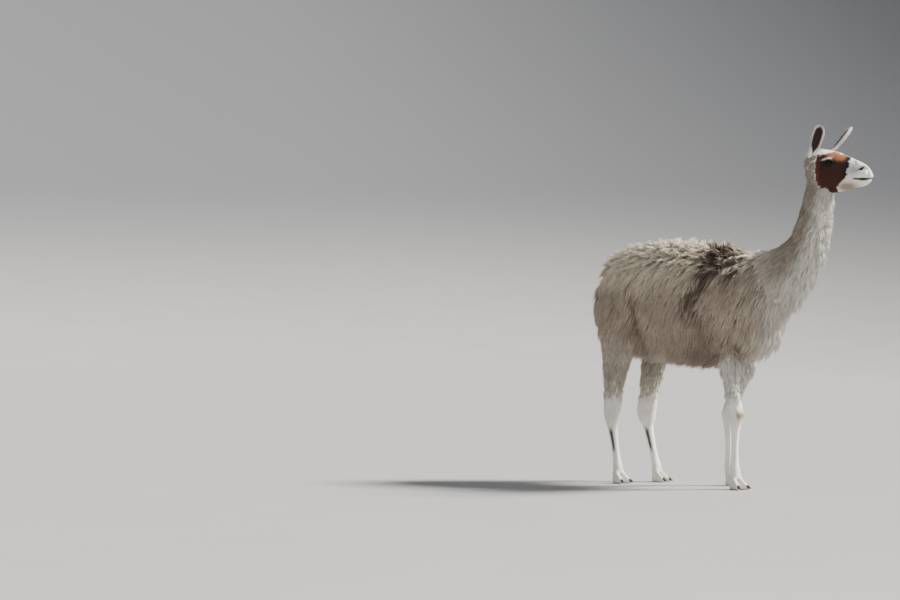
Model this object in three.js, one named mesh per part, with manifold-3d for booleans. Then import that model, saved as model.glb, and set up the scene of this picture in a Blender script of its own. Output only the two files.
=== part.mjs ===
// A still, life-size llama that stands on four feet with its head up and its ears raised.
// Millimetres, +X towards the nose, +Y towards the animal's left, +Z up, floor at Z = 0.
// Each part of the body is a lofted surface through a few named stations. A part that grows
// from another starts inside it, and the other is cut back so that a thin gap is left.

import * as THREE from "three";
import { mergeVertices } from "three/addons/utils/BufferGeometryUtils.js";
import { ParametricGeometry } from "three/addons/geometries/ParametricGeometry.js";
import Module from "manifold-3d";

const wasm = await Module();
wasm.setup();

// Driving dimensions
const GAP = 0.35; // between two parts that touch
const RUMP_X = -515; // rear end of the trunk
const BREAST_X = 520; // front end of the trunk
const HEAD_TURN = 8; // degrees that the head looks to its left
const NOSE = new THREE.Vector3(944, 36, 1398); // tip of the upper lip
const EYE_RADIUS = 19;
const EAR_WALL = 5;
const TORSO_COAT = 30; // depth of the locks over the torso's core
const NECK_COAT = 18;
const LEG_COAT = 14;
const TAIL_COAT = 12;
const RUMP_COAT_SHARE = 0.4; // share of that depth at the trunk's rear end
const RUMP_COAT_REACH = 190; // over which the torso's coat reaches its full depth
const LEG_COAT_FROM = 360; // heights between which a leg's coat reaches its full depth
const LEG_COAT_TO = 520;
const TRUNK_SQUARENESS = 2.35; // 2 gives an ellipse, and more gives a squarer section
const TRUNK_WAIST = 0.52; // height of the trunk's widest line, as a share of its depth
const HEAD_SQUARENESS = 2.15;

const UP = new THREE.Vector3(0, 0, 1);

// Materials
const fleece = new THREE.MeshStandardMaterial({ color: 0xcfc6b8, roughness: 0.95 });
const shortHair = new THREE.MeshStandardMaterial({ color: 0xe2ddd3, roughness: 0.9 });
const faceHair = new THREE.MeshStandardMaterial({ color: 0x9a6a4a, roughness: 0.9 });
const eyeGloss = new THREE.MeshStandardMaterial({ color: 0x120d0a, roughness: 0.1 });
const nailHorn = new THREE.MeshStandardMaterial({ color: 0x3b332c, roughness: 0.5 });

// Stations

// Trunk: x, top, bottom and half width of the coat's outline.
const TRUNK = [
  [-515, 940, 760, 62],
  [-488, 1018, 676, 100],
  [-445, 1074, 630, 140],
  [-385, 1116, 604, 180],
  [-300, 1143, 588, 214],
  [-190, 1153, 574, 237],
  [-60, 1157, 558, 244],
  [60, 1147, 546, 242],
  [180, 1137, 548, 228],
  [290, 1120, 562, 206],
  [375, 1072, 588, 178],
  [450, 1000, 626, 138],
  [496, 925, 680, 98],
  [520, 860, 736, 62],
];

// Neck: x, z, half depth fore and aft, half width.
const NECK = [
  [0, 362, 862, 170, 146],
  [1, 464, 938, 164, 132],
  [2, 562, 1014, 124, 110],
  [3, 626, 1092, 101, 94],
  [4, 659, 1172, 91, 84],
  [5, 686, 1288, 80, 75],
  [6, 694, 1352, 76, 58],
  [7, 692, 1405, 58, 42],
  [8, 692, 1440, 40, 36],
];

// Head, from the nose backwards: distance, top, bottom, half width. Heights are from the nose tip.
const HEAD = [
  [2, 10, -12, 11],
  [12, 31, -27, 21],
  [28, 49, -40, 28],
  [48, 62, -47, 32],
  [78, 77, -51, 36],
  [121, 97, -60, 46],
  [163, 115, -68, 60],
  [205, 125, -71, 70],
  [245, 130, -64, 71],
  [280, 124, -34, 62],
  [303, 104, 16, 42],
];

// Legs: z, x, y outwards from the middle, half depth fore and aft, half width.
const FORE_RIGHT = [
  [700, 288, 118, 70, 52],
  [600, 286, 118, 58, 48],
  [520, 290, 115, 48, 43],
  [430, 302, 112, 42, 37],
  [365, 316, 110, 34, 32],
  [330, 321, 110, 34, 32],
  [285, 317, 110, 24, 23],
  [200, 312, 110, 18, 17],
  [125, 311, 110, 20, 19],
  [85, 313, 110, 24, 26],
  [58, 316, 110, 23, 27],
];
const FORE_LEFT = [
  [700, 262, 118, 70, 52],
  [600, 232, 117, 60, 48],
  [520, 206, 114, 50, 43],
  [430, 168, 108, 42, 37],
  [365, 143, 104, 34, 32],
  [330, 134, 103, 34, 32],
  [285, 133, 102, 24, 23],
  [200, 135, 101, 18, 17],
  [125, 137, 100, 20, 19],
  [85, 140, 100, 24, 26],
  [58, 143, 100, 23, 27],
];
const HIND_RIGHT = [
  [930, -345, 118, 88, 62],
  [840, -332, 126, 118, 82],
  [740, -325, 129, 114, 82],
  [650, -330, 128, 98, 72],
  [560, -345, 124, 78, 56],
  [470, -363, 118, 62, 46],
  [390, -375, 112, 50, 37],
  [340, -381, 108, 44, 33],
  [300, -384, 106, 37, 30],
  [260, -382, 105, 26, 25],
  [180, -370, 104, 20, 18],
  [115, -360, 103, 20, 19],
  [80, -355, 102, 23, 25],
  [58, -351, 102, 22, 26],
];
const HIND_LEFT = [
  [930, -325, 118, 88, 62],
  [840, -308, 126, 118, 82],
  [740, -297, 129, 110, 80],
  [650, -296, 128, 92, 68],
  [560, -308, 124, 72, 52],
  [470, -325, 118, 62, 46],
  [390, -337, 114, 54, 38],
  [340, -342, 112, 51, 35],
  [300, -341, 111, 44, 32],
  [260, -333, 110, 28, 25],
  [180, -311, 107, 21, 19],
  [115, -291, 104, 20, 19],
  [80, -280, 102, 23, 25],
  [58, -274, 101, 22, 26],
];

// Tail: z, x, half depth, half width.
const TAIL = [
  [1000, -470, 28, 32],
  [950, -505, 30, 37],
  [890, -526, 32, 43],
  [810, -530, 33, 45],
  [740, -517, 29, 39],
  [680, -504, 21, 29],
  [640, -496, 12, 17],
];

// Smooth curves through stations

// Gives the values at any place on a smooth curve through rows that start with their place.
function smoothTable(rows) {
  const last = rows.length - 1;
  const slopes = rows.map((row, i) => {
    const before = rows[Math.max(i - 1, 0)];
    const after = rows[Math.min(i + 1, last)];
    return row.map((_, k) => (after[k] - before[k]) / (after[0] - before[0]));
  });
  const rising = rows[last][0] > rows[0][0];
  return (place) => {
    let i = 0;
    while (i < last - 1 && (rising ? place > rows[i + 1][0] : place < rows[i + 1][0])) i++;
    const span = rows[i + 1][0] - rows[i][0];
    const t = THREE.MathUtils.clamp((place - rows[i][0]) / span, 0, 1);
    const rise = t * t * (3 - 2 * t);
    const startPull = t * (1 - t) * (1 - t) * span;
    const endPull = t * t * (t - 1) * span;
    return rows[i].map(
      (value, k) =>
        value + (rows[i + 1][k] - value) * rise + slopes[i][k] * startPull + slopes[i + 1][k] * endPull,
    );
  };
}

// A rounded section: the point at an angle, where angle 0 is the side and a quarter turn is the top.
function roundSection(angle, halfWidth, up, down, squareness = 2.2) {
  const c = Math.cos(angle);
  const s = Math.sin(angle);
  const side = Math.sign(c) * Math.abs(c) ** (2 / squareness) * halfWidth;
  const rise = Math.sign(s) * Math.abs(s) ** (2 / squareness) * (s > 0 ? up : down);
  return [side, rise];
}

// Surfaces: each gives a point for t, from 0 to 1 along it, and an angle round it.

// The trunk, inset by a depth from the coat's outline, and by less over the rump.
function trunkSurface(inset) {
  const at = smoothTable(TRUNK);
  const rear = RUMP_X + inset * RUMP_COAT_SHARE;
  const front = BREAST_X - inset;
  return (t, angle) => {
    const x = (rear + front) / 2 - ((front - rear) / 2) * Math.cos(Math.PI * (0.03 + 0.94 * t));
    const outline = THREE.MathUtils.mapLinear(x, rear, front, RUMP_X, BREAST_X);
    const [, top, bottom, halfWidth] = at(outline);
    const middle = bottom + (top - bottom) * TRUNK_WAIST;
    const forwards = THREE.MathUtils.smoothstep(outline, RUMP_X, RUMP_X + RUMP_COAT_REACH);
    const off = inset * THREE.MathUtils.lerp(RUMP_COAT_SHARE, 1, forwards);
    const up = top - middle - off;
    const down = middle - bottom - off;
    const [y, rise] = roundSection(angle, halfWidth - off, up, down, TRUNK_SQUARENESS);
    return new THREE.Vector3(x, y, middle + rise);
  };
}

// Whether a point lies inside the trunk's outline.
function insideTrunk({ x, y, z }) {
  if (x < RUMP_X || x > BREAST_X) return false;
  const [, top, bottom, halfWidth] = smoothTable(TRUNK)(x);
  const rise = (2 * z - top - bottom) / (top - bottom);
  return Math.abs(y / halfWidth) ** TRUNK_SQUARENESS + Math.abs(rise) ** TRUNK_SQUARENESS < 1;
}

// The neck, inset by a depth. Its sections stand square to its middle line.
function neckSurface(inset) {
  const at = smoothTable(NECK);
  const end = NECK.length - 1;
  return (t, angle) => {
    const place = t * end;
    const [, x, z, depth, width] = at(place);
    const ahead = at(Math.min(place + 0.1, end));
    const behind = at(Math.max(place - 0.1, 0));
    const along = new THREE.Vector2(ahead[1] - behind[1], ahead[2] - behind[2]).normalize();
    const [side, fore] = roundSection(angle, width - inset, depth - inset, depth - inset, 2.1);
    const beyond = inset * (1 - 2 * t);
    const run = fore * along.y + beyond * along.x;
    return new THREE.Vector3(x + run, side, z - fore * along.x + beyond * along.y);
  };
}

// From the head's own frame, with the nose tip at 0, to the body's frame.
const HEAD_MATRIX = new THREE.Matrix4()
  .makeTranslation(NOSE)
  .multiply(new THREE.Matrix4().makeRotationZ(THREE.MathUtils.degToRad(HEAD_TURN)));

// The nose bridge and the jaw are narrower than the cheeks between them.
function cheekShare(height) {
  return 1 - 0.22 * Math.max(height, 0) ** 2 - 0.14 * Math.max(-height, 0) ** 2;
}

function headSurface(inset) {
  const at = smoothTable(HEAD);
  const nose = HEAD[0][0] + inset;
  const nape = HEAD[HEAD.length - 1][0] - inset;
  return (t, angle) => {
    const back = nose + (nape - nose) * (0.5 - 0.5 * Math.cos(Math.PI * t));
    const [, top, bottom, halfWidth] = at(back);
    const middle = (top + bottom) / 2;
    const half = Math.max(middle - bottom - inset, 3);
    const [y, rise] = roundSection(angle, Math.max(halfWidth - inset, 3), half, half, HEAD_SQUARENESS);
    const share = cheekShare(rise / (top - middle));
    return new THREE.Vector3(-back, y * share, middle + rise).applyMatrix4(HEAD_MATRIX);
  };
}

// How far the side of the head is from its middle plane, at a distance back and a height.
function cheekAt(back, height) {
  const [, top, bottom, halfWidth] = smoothTable(HEAD)(back);
  const rise = (2 * height - top - bottom) / (top - bottom);
  return halfWidth * (1 - Math.abs(rise) ** HEAD_SQUARENESS) ** (1 / HEAD_SQUARENESS) * cheekShare(rise);
}

// A leg on side +1, the left, or -1, the right, from one height down to another.
// A coat thickens from the joint upwards, and its depth is left off the core.
function legSurface(stations, side, from, to, inset = 0, coat = 0) {
  const at = smoothTable(stations);
  return (t, angle) => {
    const z = from + (to - from) * t;
    const [, x, y, depth, width] = at(z);
    const off = inset + coat * THREE.MathUtils.smoothstep(z, LEG_COAT_FROM, LEG_COAT_TO);
    const [across, fore] = roundSection(angle, width - off, depth - off, depth - off, 2.1);
    return new THREE.Vector3(x + fore, side * y + across, z);
  };
}

function tailSurface(inset) {
  const at = smoothTable(TAIL);
  const top = TAIL[0][0];
  const tip = TAIL[TAIL.length - 1][0];
  return (t, angle) => {
    const z = top + (tip - top) * t;
    const [, x, depth, width] = at(z);
    const [across, fore] = roundSection(angle, width - inset, depth - inset, depth - inset, 2);
    return new THREE.Vector3(x + fore, across, z - inset * (1 - 2 * t));
  };
}

// Solids

// A manifold solid of a three.js geometry, turned outside in where its faces point inwards.
function solidOf(geometry) {
  geometry.deleteAttribute("normal");
  geometry.deleteAttribute("uv");
  const merged = mergeVertices(geometry, 1e-3);
  const corners = merged.index.array;
  const triangles = [];
  for (let i = 0; i < corners.length; i += 3) {
    const [a, b, c] = [corners[i], corners[i + 1], corners[i + 2]];
    if (a !== b && b !== c && c !== a) triangles.push(a, b, c);
  }
  const build = (triVerts) =>
    new wasm.Manifold(
      new wasm.Mesh({
        numProp: 3,
        vertProperties: new Float32Array(merged.attributes.position.array),
        triVerts: new Uint32Array(triVerts),
      }),
    );
  const made = build(triangles);
  return made.volume() > 0 ? made : build(triangles.reverse());
}

// A closed solid of a surface, with a pole at each end.
function loft(surface, rings, sides) {
  const stacks = rings + 1;
  const centre = (t) =>
    surface(t, 0)
      .add(surface(t, Math.PI))
      .add(surface(t, Math.PI / 2))
      .add(surface(t, -Math.PI / 2))
      .multiplyScalar(0.25);
  const geometry = new ParametricGeometry(
    (u, v, target) => {
      const ring = Math.round(v * stacks);
      const t = THREE.MathUtils.clamp((ring - 1) / (rings - 1), 0, 1);
      const pole = ring === 0 || ring === stacks;
      target.copy(pole ? centre(t) : surface(t, 2 * Math.PI * (u % 1)));
    },
    sides,
    stacks,
  );
  return solidOf(geometry);
}

// The largest closed body of a solid.
function largest(solid) {
  return solid.decompose().reduce((best, body) => (body.volume() > best.volume() ? body : best));
}

// Locks

// A seeded draw between 0 and 1.
function seeded(seed) {
  let state = seed;
  return () => {
    state = (state * 1664525 + 1013904223) % 4294967296;
    return state / 4294967296;
  };
}

// The point, the unit normal and the two edges of a surface at a place on it.
function frameAt(surface, t, angle) {
  const step = 0.004;
  const point = surface(t, angle);
  const alongT = surface(t + step, angle).sub(surface(t - step, angle)).divideScalar(2 * step);
  const alongAngle = surface(t, angle + step).sub(surface(t, angle - step)).divideScalar(2 * step);
  const outwards = point.clone().sub(surface(t, angle + Math.PI));
  const normal = new THREE.Vector3().crossVectors(alongAngle, alongT).normalize();
  if (normal.dot(outwards) < 0) normal.negate();
  return { point, normal, alongT, alongAngle };
}

const STRIDE = 12; // the longest single step of a walk over a surface

// The place on a surface that is reached by walking over it in a direction.
function moved(surface, start, direction, length) {
  const strides = Math.ceil(length / STRIDE);
  let { t, angle } = start;
  for (let i = 0; i < strides; i++) {
    const { normal, alongT, alongAngle } = frameAt(surface, t, angle);
    const way = direction.clone().addScaledVector(normal, -direction.dot(normal)).normalize();
    const tt = alongT.lengthSq();
    const aa = alongAngle.lengthSq();
    const ta = alongT.dot(alongAngle);
    const onT = (way.dot(alongT) * length) / strides;
    const onAngle = (way.dot(alongAngle) * length) / strides;
    const scale = tt * aa - ta * ta;
    t = THREE.MathUtils.clamp(t + (onT * aa - onAngle * ta) / scale, 0.01, 0.99);
    angle += (onAngle * tt - onT * ta) / scale;
  }
  return { t, angle };
}

// Shares of the full width and thickness at each section of a lock, from root to tip.
const LOCK_SECTIONS = [[0.7, 0.4], [1, 1], [0.74, 0.75]];

// When a lock grows, its thin edges and its tip move out by this many times its faces' growth.
const THIN_GROWTH = 6;

// A point moved straight away from another by a distance.
function pushedOut(point, from, distance) {
  return point.addScaledVector(point.clone().sub(from).normalize(), distance);
}

// A flat, tapered lock that walks over a surface along its lie. Its root is sunk, its tip
// stands off by the lift, and its section is a shallow chevron that follows the surface.
function lockSolid(surface, root, lie, { length, width, thickness, lift, sunk, grow = 0 }) {
  const corners = [];
  const steps = LOCK_SECTIONS.length;
  let place = root;
  let reach = 0;
  let core;
  for (const [widthShare, thickShare] of LOCK_SECTIONS) {
    const { point, normal } = frameAt(surface, place.t, place.angle);
    const direction = lie(point, normal);
    const across = new THREE.Vector3().crossVectors(normal, direction).normalize();
    const half = (width / 2) * widthShare;
    const height = -sunk + (lift + sunk) * (reach / length);
    const thick = thickness * thickShare;
    core = point.clone().addScaledVector(normal, height + thick / 2);
    const edge = (side) => {
      const beside = moved(surface, place, across.clone().multiplyScalar(side), half);
      const { point: foot, normal: up } = frameAt(surface, beside.t, beside.angle);
      return pushedOut(foot.addScaledVector(up, height), core, THIN_GROWTH * grow);
    };
    const ridge = core.clone().addScaledVector(normal, thick / 2 + grow);
    const belly = core.clone().addScaledVector(normal, -thick / 2 - grow);
    corners.push(edge(-1), ridge, edge(1), belly);
    place = moved(surface, place, direction, length / steps);
    reach += length / steps;
  }
  const end = frameAt(surface, place.t, place.angle);
  const tip = corners.length;
  corners.push(pushedOut(end.point.addScaledVector(end.normal, lift), core, THIN_GROWTH * grow));
  const triangles = [0, 1, 3, 1, 2, 3];
  const last = 4 * (steps - 1);
  for (const [a, b] of [[0, 1], [1, 2], [2, 3], [3, 0]]) {
    const edgeFirst = a % 2 === 0;
    for (let i = 0; i < last; i += 4) {
      const [near, far, nextNear, nextFar] = [i + a, i + b, i + a + 4, i + b + 4];
      // Both faces of an edge fold along a line from that edge, so that they never cross.
      if (edgeFirst) triangles.push(near, nextNear, nextFar, near, nextFar, far);
      else triangles.push(near, nextNear, far, far, nextNear, nextFar);
    }
    triangles.push(last + a, tip, last + b);
  }
  const geometry = new THREE.BufferGeometry().setFromPoints(corners);
  geometry.setIndex(triangles);
  return solidOf(geometry);
}

// Roots in tiers along a tube-like surface, each tier shifted by half a lock to the last.
// None is set inside the trunk.
function tiersAlong(surface, { from, to, tier, pitch, draw }) {
  const roots = [];
  const middle = (t) => surface(t, 0).add(surface(t, Math.PI)).multiplyScalar(0.5);
  const way = Math.sign(to - from);
  let t = from;
  for (let row = 0; way * (to - t) > 0; row++) {
    const across = surface(t, 0).distanceTo(surface(t, Math.PI));
    const deep = surface(t, Math.PI / 2).distanceTo(surface(t, -Math.PI / 2));
    const count = Math.round((Math.PI * (across + deep)) / 2 / pitch);
    for (let i = 0; i < count; i++) {
      const shift = (row % 2) / 2 + 0.16 * (draw() - 0.5);
      const angle = (2 * Math.PI * (i + shift)) / count;
      if (!insideTrunk(surface(t, angle))) roots.push({ t, angle });
    }
    const here = middle(t);
    while (middle(t).distanceTo(here) < tier && way * (to - t) > 0) t += way * 0.002;
  }
  return roots;
}

// The angle that lies a distance down one side of a surface from its top, above its underside.
function angleDown(surface, t, side, distance) {
  const underside = 0.75 * Math.PI;
  const step = 0.03;
  let gone = 0;
  for (let turn = 0; turn < underside; turn += step) {
    const angle = Math.PI / 2 - side * turn;
    if (gone >= distance) return angle;
    gone += surface(t, angle).distanceTo(surface(t, angle - side * step));
  }
  return undefined;
}

// Roots in tiers down one side of a surface, each tier shifted by half a lock to the last.
function tiersDown(surface, side, { from, to, rows, tier, pitch, first }) {
  const roots = [];
  for (let row = 0; row < rows; row++) {
    let last;
    for (let t = from; t < to; t += 0.004) {
      const angle = angleDown(surface, t, side, first + row * tier);
      if (angle === undefined) continue;
      const here = surface(t, angle);
      const started = last !== undefined;
      if (started && here.distanceTo(last) < pitch) continue;
      if (started || row % 2 === 0) roots.push({ t, angle });
      last = started ? here : here.clone().sub(new THREE.Vector3(pitch / 2, 0, 0));
    }
  }
  return roots;
}

// One solid of a core and its locks.
function withLocks(core, locks) {
  return largest(wasm.Manifold.union([core, ...locks]));
}

const llama = new THREE.Group();

function addNode(name, solid, material) {
  const { vertProperties, triVerts } = largest(solid).getMesh();
  const geometry = new THREE.BufferGeometry();
  geometry.setAttribute("position", new THREE.BufferAttribute(vertProperties, 3));
  geometry.setIndex(new THREE.BufferAttribute(triVerts, 1));
  const mesh = new THREE.Mesh(geometry, material);
  mesh.name = name;
  llama.add(mesh);
}

// Legs and feet

const LEGS = [
  { name: "foreleg_right", stations: FORE_RIGHT, side: -1, joint: 352 },
  { name: "foreleg_left", stations: FORE_LEFT, side: 1, joint: 352 },
  { name: "hindleg_right", stations: HIND_RIGHT, side: -1, joint: 300 },
  { name: "hindleg_left", stations: HIND_LEFT, side: 1, joint: 300 },
];
const FETLOCK = 62; // height where the toes begin
const TOE_APART = 14; // half the distance between the middles of two toes
const TOE_REACH = 56; // from the fetlock to the toe's tip
const TOE_ROOT = 17; // how far behind the fetlock the two toes' lines would meet
const SPLAY = 0.2; // sideways run of a toe over its length
const FOOT_TURN = { fore: 14, hind: 8 }; // degrees outwards

// Toe: place, reach forwards, height, rise above and drop below that height, half width.
const TOE = [
  [0, -3, 60, 20, 20, 12],
  [1, 3, 44, 21, 24, 13],
  [2, 14, 27, 22, 44, 14],
  [3, 30, 18, 18, 28, 14],
  [4, 46, 12, 11, 19, 11],
  [5, TOE_REACH, 8, 6, 13, 6],
];

// One toe, from the fetlock forwards and down, with its sole flat on the floor.
// The foot points outwards by a turn, and its two toes part by a splay.
function toeSolid({ at: fetlock, splay, turn }) {
  const table = smoothTable(TOE);
  const end = TOE.length - 1;
  const surface = (t, angle) => {
    const place = t * end;
    const [, reach, z, up, down, width] = table(place);
    const ahead = table(Math.min(place + 0.2, end));
    const behind = table(Math.max(place - 0.2, 0));
    const along = new THREE.Vector2(ahead[1] - behind[1], ahead[2] - behind[2]).normalize();
    const [across, rise] = roundSection(angle, width, up, down, 2.2);
    const point = new THREE.Vector3(
      reach - rise * along.y * 0.8,
      splay * (TOE_ROOT + reach) + across,
      Math.max(z + Math.abs(along.x) * rise, 0),
    );
    return point.applyAxisAngle(UP, turn).add(fetlock);
  };
  return loft(surface, 6, 8).trimByPlane([0, 0, -1], -(FETLOCK - GAP / 2));
}

// The nail over a toe's tip: a short horn that curves down towards the floor.
const NAIL = { length: 25, sunk: 13, halfWidth: 8, halfHeight: 9, tip: 1.5, height: 14, drop: 8 };

function nailSolid({ at: fetlock, splay, turn }, grow) {
  const surface = (t, angle) => {
    const reach = TOE_REACH - NAIL.sunk - grow + (NAIL.length + 2 * grow) * t;
    const size = (1 - t) ** 0.6;
    const halfWidth = NAIL.halfWidth * size + NAIL.tip + grow;
    const halfHeight = NAIL.halfHeight * size + NAIL.tip + grow;
    const [across, rise] = roundSection(angle, halfWidth, halfHeight, halfHeight, 2);
    const side = splay * (TOE_ROOT + reach) + across;
    const height = Math.max(NAIL.height - NAIL.drop * t * t + rise, 0.8 - grow);
    return new THREE.Vector3(reach, side, height).applyAxisAngle(UP, turn).add(fetlock);
  };
  return loft(surface, 4, 6);
}

const THIGH_TIERS = { from: 0.2, to: 0.64, tier: 92, pitch: 96 };
const FOREARM_TIERS = { from: 0.36, to: 0.5, tier: 92, pitch: 96 };
const THIGH_LOCKS = { length: 140, width: 84, thickness: 9, lift: 14, sunk: 8 };

// The upper part of a leg, with locks from the hip down to above the joint.
function upperLeg({ stations, side, joint, isHind }, grow) {
  const top = stations[0][0] + grow;
  const end = joint + GAP / 2 - grow;
  const core = loft(legSurface(stations, side, top, end, -grow, LEG_COAT), isHind ? 10 : 8, 11);
  const surface = legSurface(stations, side, top, end, 0, LEG_COAT);
  const draw = seeded(isHind ? 11 : 12);
  const lie = () => new THREE.Vector3(isHind ? -0.25 : 0, 0, -1);
  const roots = tiersAlong(surface, { ...(isHind ? THIGH_TIERS : FOREARM_TIERS), draw });
  const locks = roots.map((root) => {
    const length = THIGH_LOCKS.length * (0.9 + 0.2 * draw());
    return lockSolid(surface, root, lie, { ...THIGH_LOCKS, length, grow });
  });
  return withLocks(core, locks);
}

const upperLegs = [];
for (const leg of LEGS) {
  const { name, stations, side, joint } = leg;
  const foot = stations[stations.length - 1];
  const isHind = name.startsWith("hind");
  const upper = upperLeg({ ...leg, isHind }, 0);
  const lower = loft(legSurface(stations, side, joint - GAP / 2, FETLOCK + GAP / 2), 7, 11);
  upperLegs.push(upperLeg({ ...leg, isHind }, GAP));
  addNode(`${name}_upper`, upper, fleece);
  addNode(`${name}_lower`, lower, shortHair);
  for (const [toe, place] of [["outer", side], ["inner", -side]]) {
    const turn = THREE.MathUtils.degToRad(side * (isHind ? FOOT_TURN.hind : FOOT_TURN.fore));
    const fetlock = new THREE.Vector3(foot[1], side * foot[2] + place * TOE_APART, 0);
    const stance = { at: fetlock, splay: place * SPLAY, turn };
    addNode(`${name}_toe_${toe}`, toeSolid(stance).subtract(nailSolid(stance, GAP)), shortHair);
    addNode(`${name}_nail_${toe}`, nailSolid(stance, 0), nailHorn);
  }
}

// Tail

const TAIL_TIERS = { from: 0.12, to: 0.7, tier: 82, pitch: 60 };
const TAIL_LOCKS = { length: 125, width: 52, thickness: 7, lift: 11, sunk: 5 };

function tailSolid(grow) {
  const core = loft(tailSurface(TAIL_COAT - grow), 7, 8);
  const surface = tailSurface(TAIL_COAT);
  const draw = seeded(21);
  const lie = () => new THREE.Vector3(-0.1, 0, -1);
  const roots = tiersAlong(surface, { ...TAIL_TIERS, draw });
  return withLocks(core, roots.map((root) => lockSolid(surface, root, lie, { ...TAIL_LOCKS, grow })));
}

const tail = tailSolid(0);
addNode("tail", tail, fleece);

// Neck

const NECK_TIERS = { from: 0.76, to: 0.12, tier: 92, pitch: 96 };
const NECK_LOCKS = { length: 145, width: 80, thickness: 9, lift: 17, sunk: 8 };
const NECK_SPLIT = { t: 0.42, rake: 28 }; // where its two parts meet, and how far that plane leans back

function neckSolid(grow) {
  const core = loft(neckSurface(NECK_COAT - grow), 13, 15);
  const surface = neckSurface(NECK_COAT);
  const draw = seeded(31);
  const lie = ({ y }, normal) => new THREE.Vector3(-0.55, 0.25 * Math.sign(y) * Math.max(-normal.x, 0), -1);
  const locks = [];
  for (const root of tiersAlong(surface, { ...NECK_TIERS, draw })) {
    const length = NECK_LOCKS.length * (0.9 + 0.2 * draw());
    const { point, normal } = frameAt(surface, root.t, root.angle);
    const runsPastBase = moved(surface, root, lie(point, normal), length).t < 0.03;
    if (!runsPastBase) locks.push(lockSolid(surface, root, lie, { ...NECK_LOCKS, length, grow }));
  }
  return withLocks(core, locks);
}

const neck = neckSolid(0);
const neckRoom = neckSolid(GAP);
const rake = THREE.MathUtils.degToRad(NECK_SPLIT.rake);
const upNeck = new THREE.Vector3(Math.sin(rake), 0, Math.cos(rake));
const onSplit = neckSurface(NECK_COAT)(NECK_SPLIT.t, 0).dot(upNeck);
addNode("neck_lower", neck.trimByPlane(upNeck.clone().negate().toArray(), GAP / 2 - onSplit), fleece);
addNode("neck_upper", neck.trimByPlane(upNeck.toArray(), GAP / 2 + onSplit), fleece);

// Torso, cut back from the neck, the tail and the legs

const TORSO_TIERS = { from: 0.09, to: 0.93, rows: 8, tier: 120, pitch: 146, first: 62 };
const TORSO_LOCKS = { length: 205, width: 130, thickness: 12, lift: 30, sunk: 10 };
const SPINE_LOCKS = { length: 170, width: 100, thickness: 12, lift: 30, sunk: 10 };
const BELLY_LOCKS = { length: 160, width: 110, thickness: 12, lift: 28, sunk: 10 };

function torsoSolid() {
  const core = loft(trunkSurface(TORSO_COAT), 14, 18);
  const surface = trunkSurface(TORSO_COAT);
  const draw = seeded(41);
  const locks = [];
  for (const side of [-1, 1]) {
    const lie = (_, { z }) =>
      new THREE.Vector3(-0.3 - 1.6 * Math.max(-z - 0.45, 0), 0.9 * side * Math.max(z, 0), -1);
    for (const root of tiersDown(surface, side, TORSO_TIERS)) {
      const length = TORSO_LOCKS.length * (0.88 + 0.24 * draw());
      locks.push(lockSolid(surface, root, lie, { ...TORSO_LOCKS, length }));
    }
  }
  const back = () => new THREE.Vector3(-1, 0.12 * (draw() - 0.5), -0.1);
  for (let t = 0.84; t > 0.14; t -= 0.096) {
    const root = { t, angle: Math.PI / 2 + 0.05 * (draw() - 0.5) };
    locks.push(lockSolid(surface, root, back, SPINE_LOCKS));
  }
  for (let t = 0.7; t > 0.3; t -= 0.09) {
    const root = { t, angle: -Math.PI / 2 + 0.1 * (draw() - 0.5) };
    locks.push(lockSolid(surface, root, back, BELLY_LOCKS));
  }
  return withLocks(core, locks);
}

let torso = torsoSolid();
for (const room of upperLegs) torso = torso.subtract(room);
torso = torso.subtract(neckRoom).subtract(tailSolid(GAP));
addNode("torso", torso, fleece);

// Head

// A shape made at 0 and placed in the head's frame: turned about its own middle, then moved.
function inHead(geometry, position, turn = [0, 0, 0], size = [1, 1, 1]) {
  const placed = new THREE.Matrix4().compose(
    new THREE.Vector3(...position),
    new THREE.Quaternion().setFromEuler(new THREE.Euler(...turn.map(THREE.MathUtils.degToRad))),
    new THREE.Vector3(...size),
  );
  return solidOf(geometry.applyMatrix4(placed).applyMatrix4(HEAD_MATRIX));
}

const EYE = { back: 188, out: 46, up: 64 };
const LID = 3; // thickness of the lids over the eyeball
const EYE_SLIT = { halfLength: 18, halfHeight: 11, tilt: 12, forwards: 26 };
const NOSTRIL = { back: 27, up: 33, size: [12, 6, 4.5], tilt: 24 };
const MOUTH = { corner: 84, up: -11, gape: 2.6, depth: 5 };

function eyeball(side, radius, detail = [12, 8]) {
  const centre = [-EYE.back, side * EYE.out, EYE.up];
  return inHead(new THREE.SphereGeometry(radius, ...detail), centre);
}

// The almond between the two lids, as a bar that runs outwards from the eyeball's middle,
// turned a little forwards.
function eyeSlit(side) {
  const { halfLength, halfHeight, tilt, forwards } = EYE_SLIT;
  const radius = (halfLength ** 2 + halfHeight ** 2) / (2 * halfHeight);
  const lean = THREE.MathUtils.degToRad(tilt);
  const arcs = [1, -1].map((way) => {
    const drop = way * (radius - halfHeight);
    const bar = new THREE.CylinderGeometry(radius, radius, 2 * EYE_RADIUS, 20);
    bar.translate(drop * Math.sin(lean), side * EYE_RADIUS, drop * Math.cos(lean));
    return inHead(bar, [-EYE.back, side * EYE.out, EYE.up], [0, 0, -side * forwards]);
  });
  return arcs[0].intersect(arcs[1]);
}

function nostril(side) {
  const { back, up, size, tilt } = NOSTRIL;
  const position = [-back, side * cheekAt(back, up), up];
  return inHead(new THREE.SphereGeometry(1, 8, 6), position, [0, tilt, -side * 14], size);
}

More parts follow.
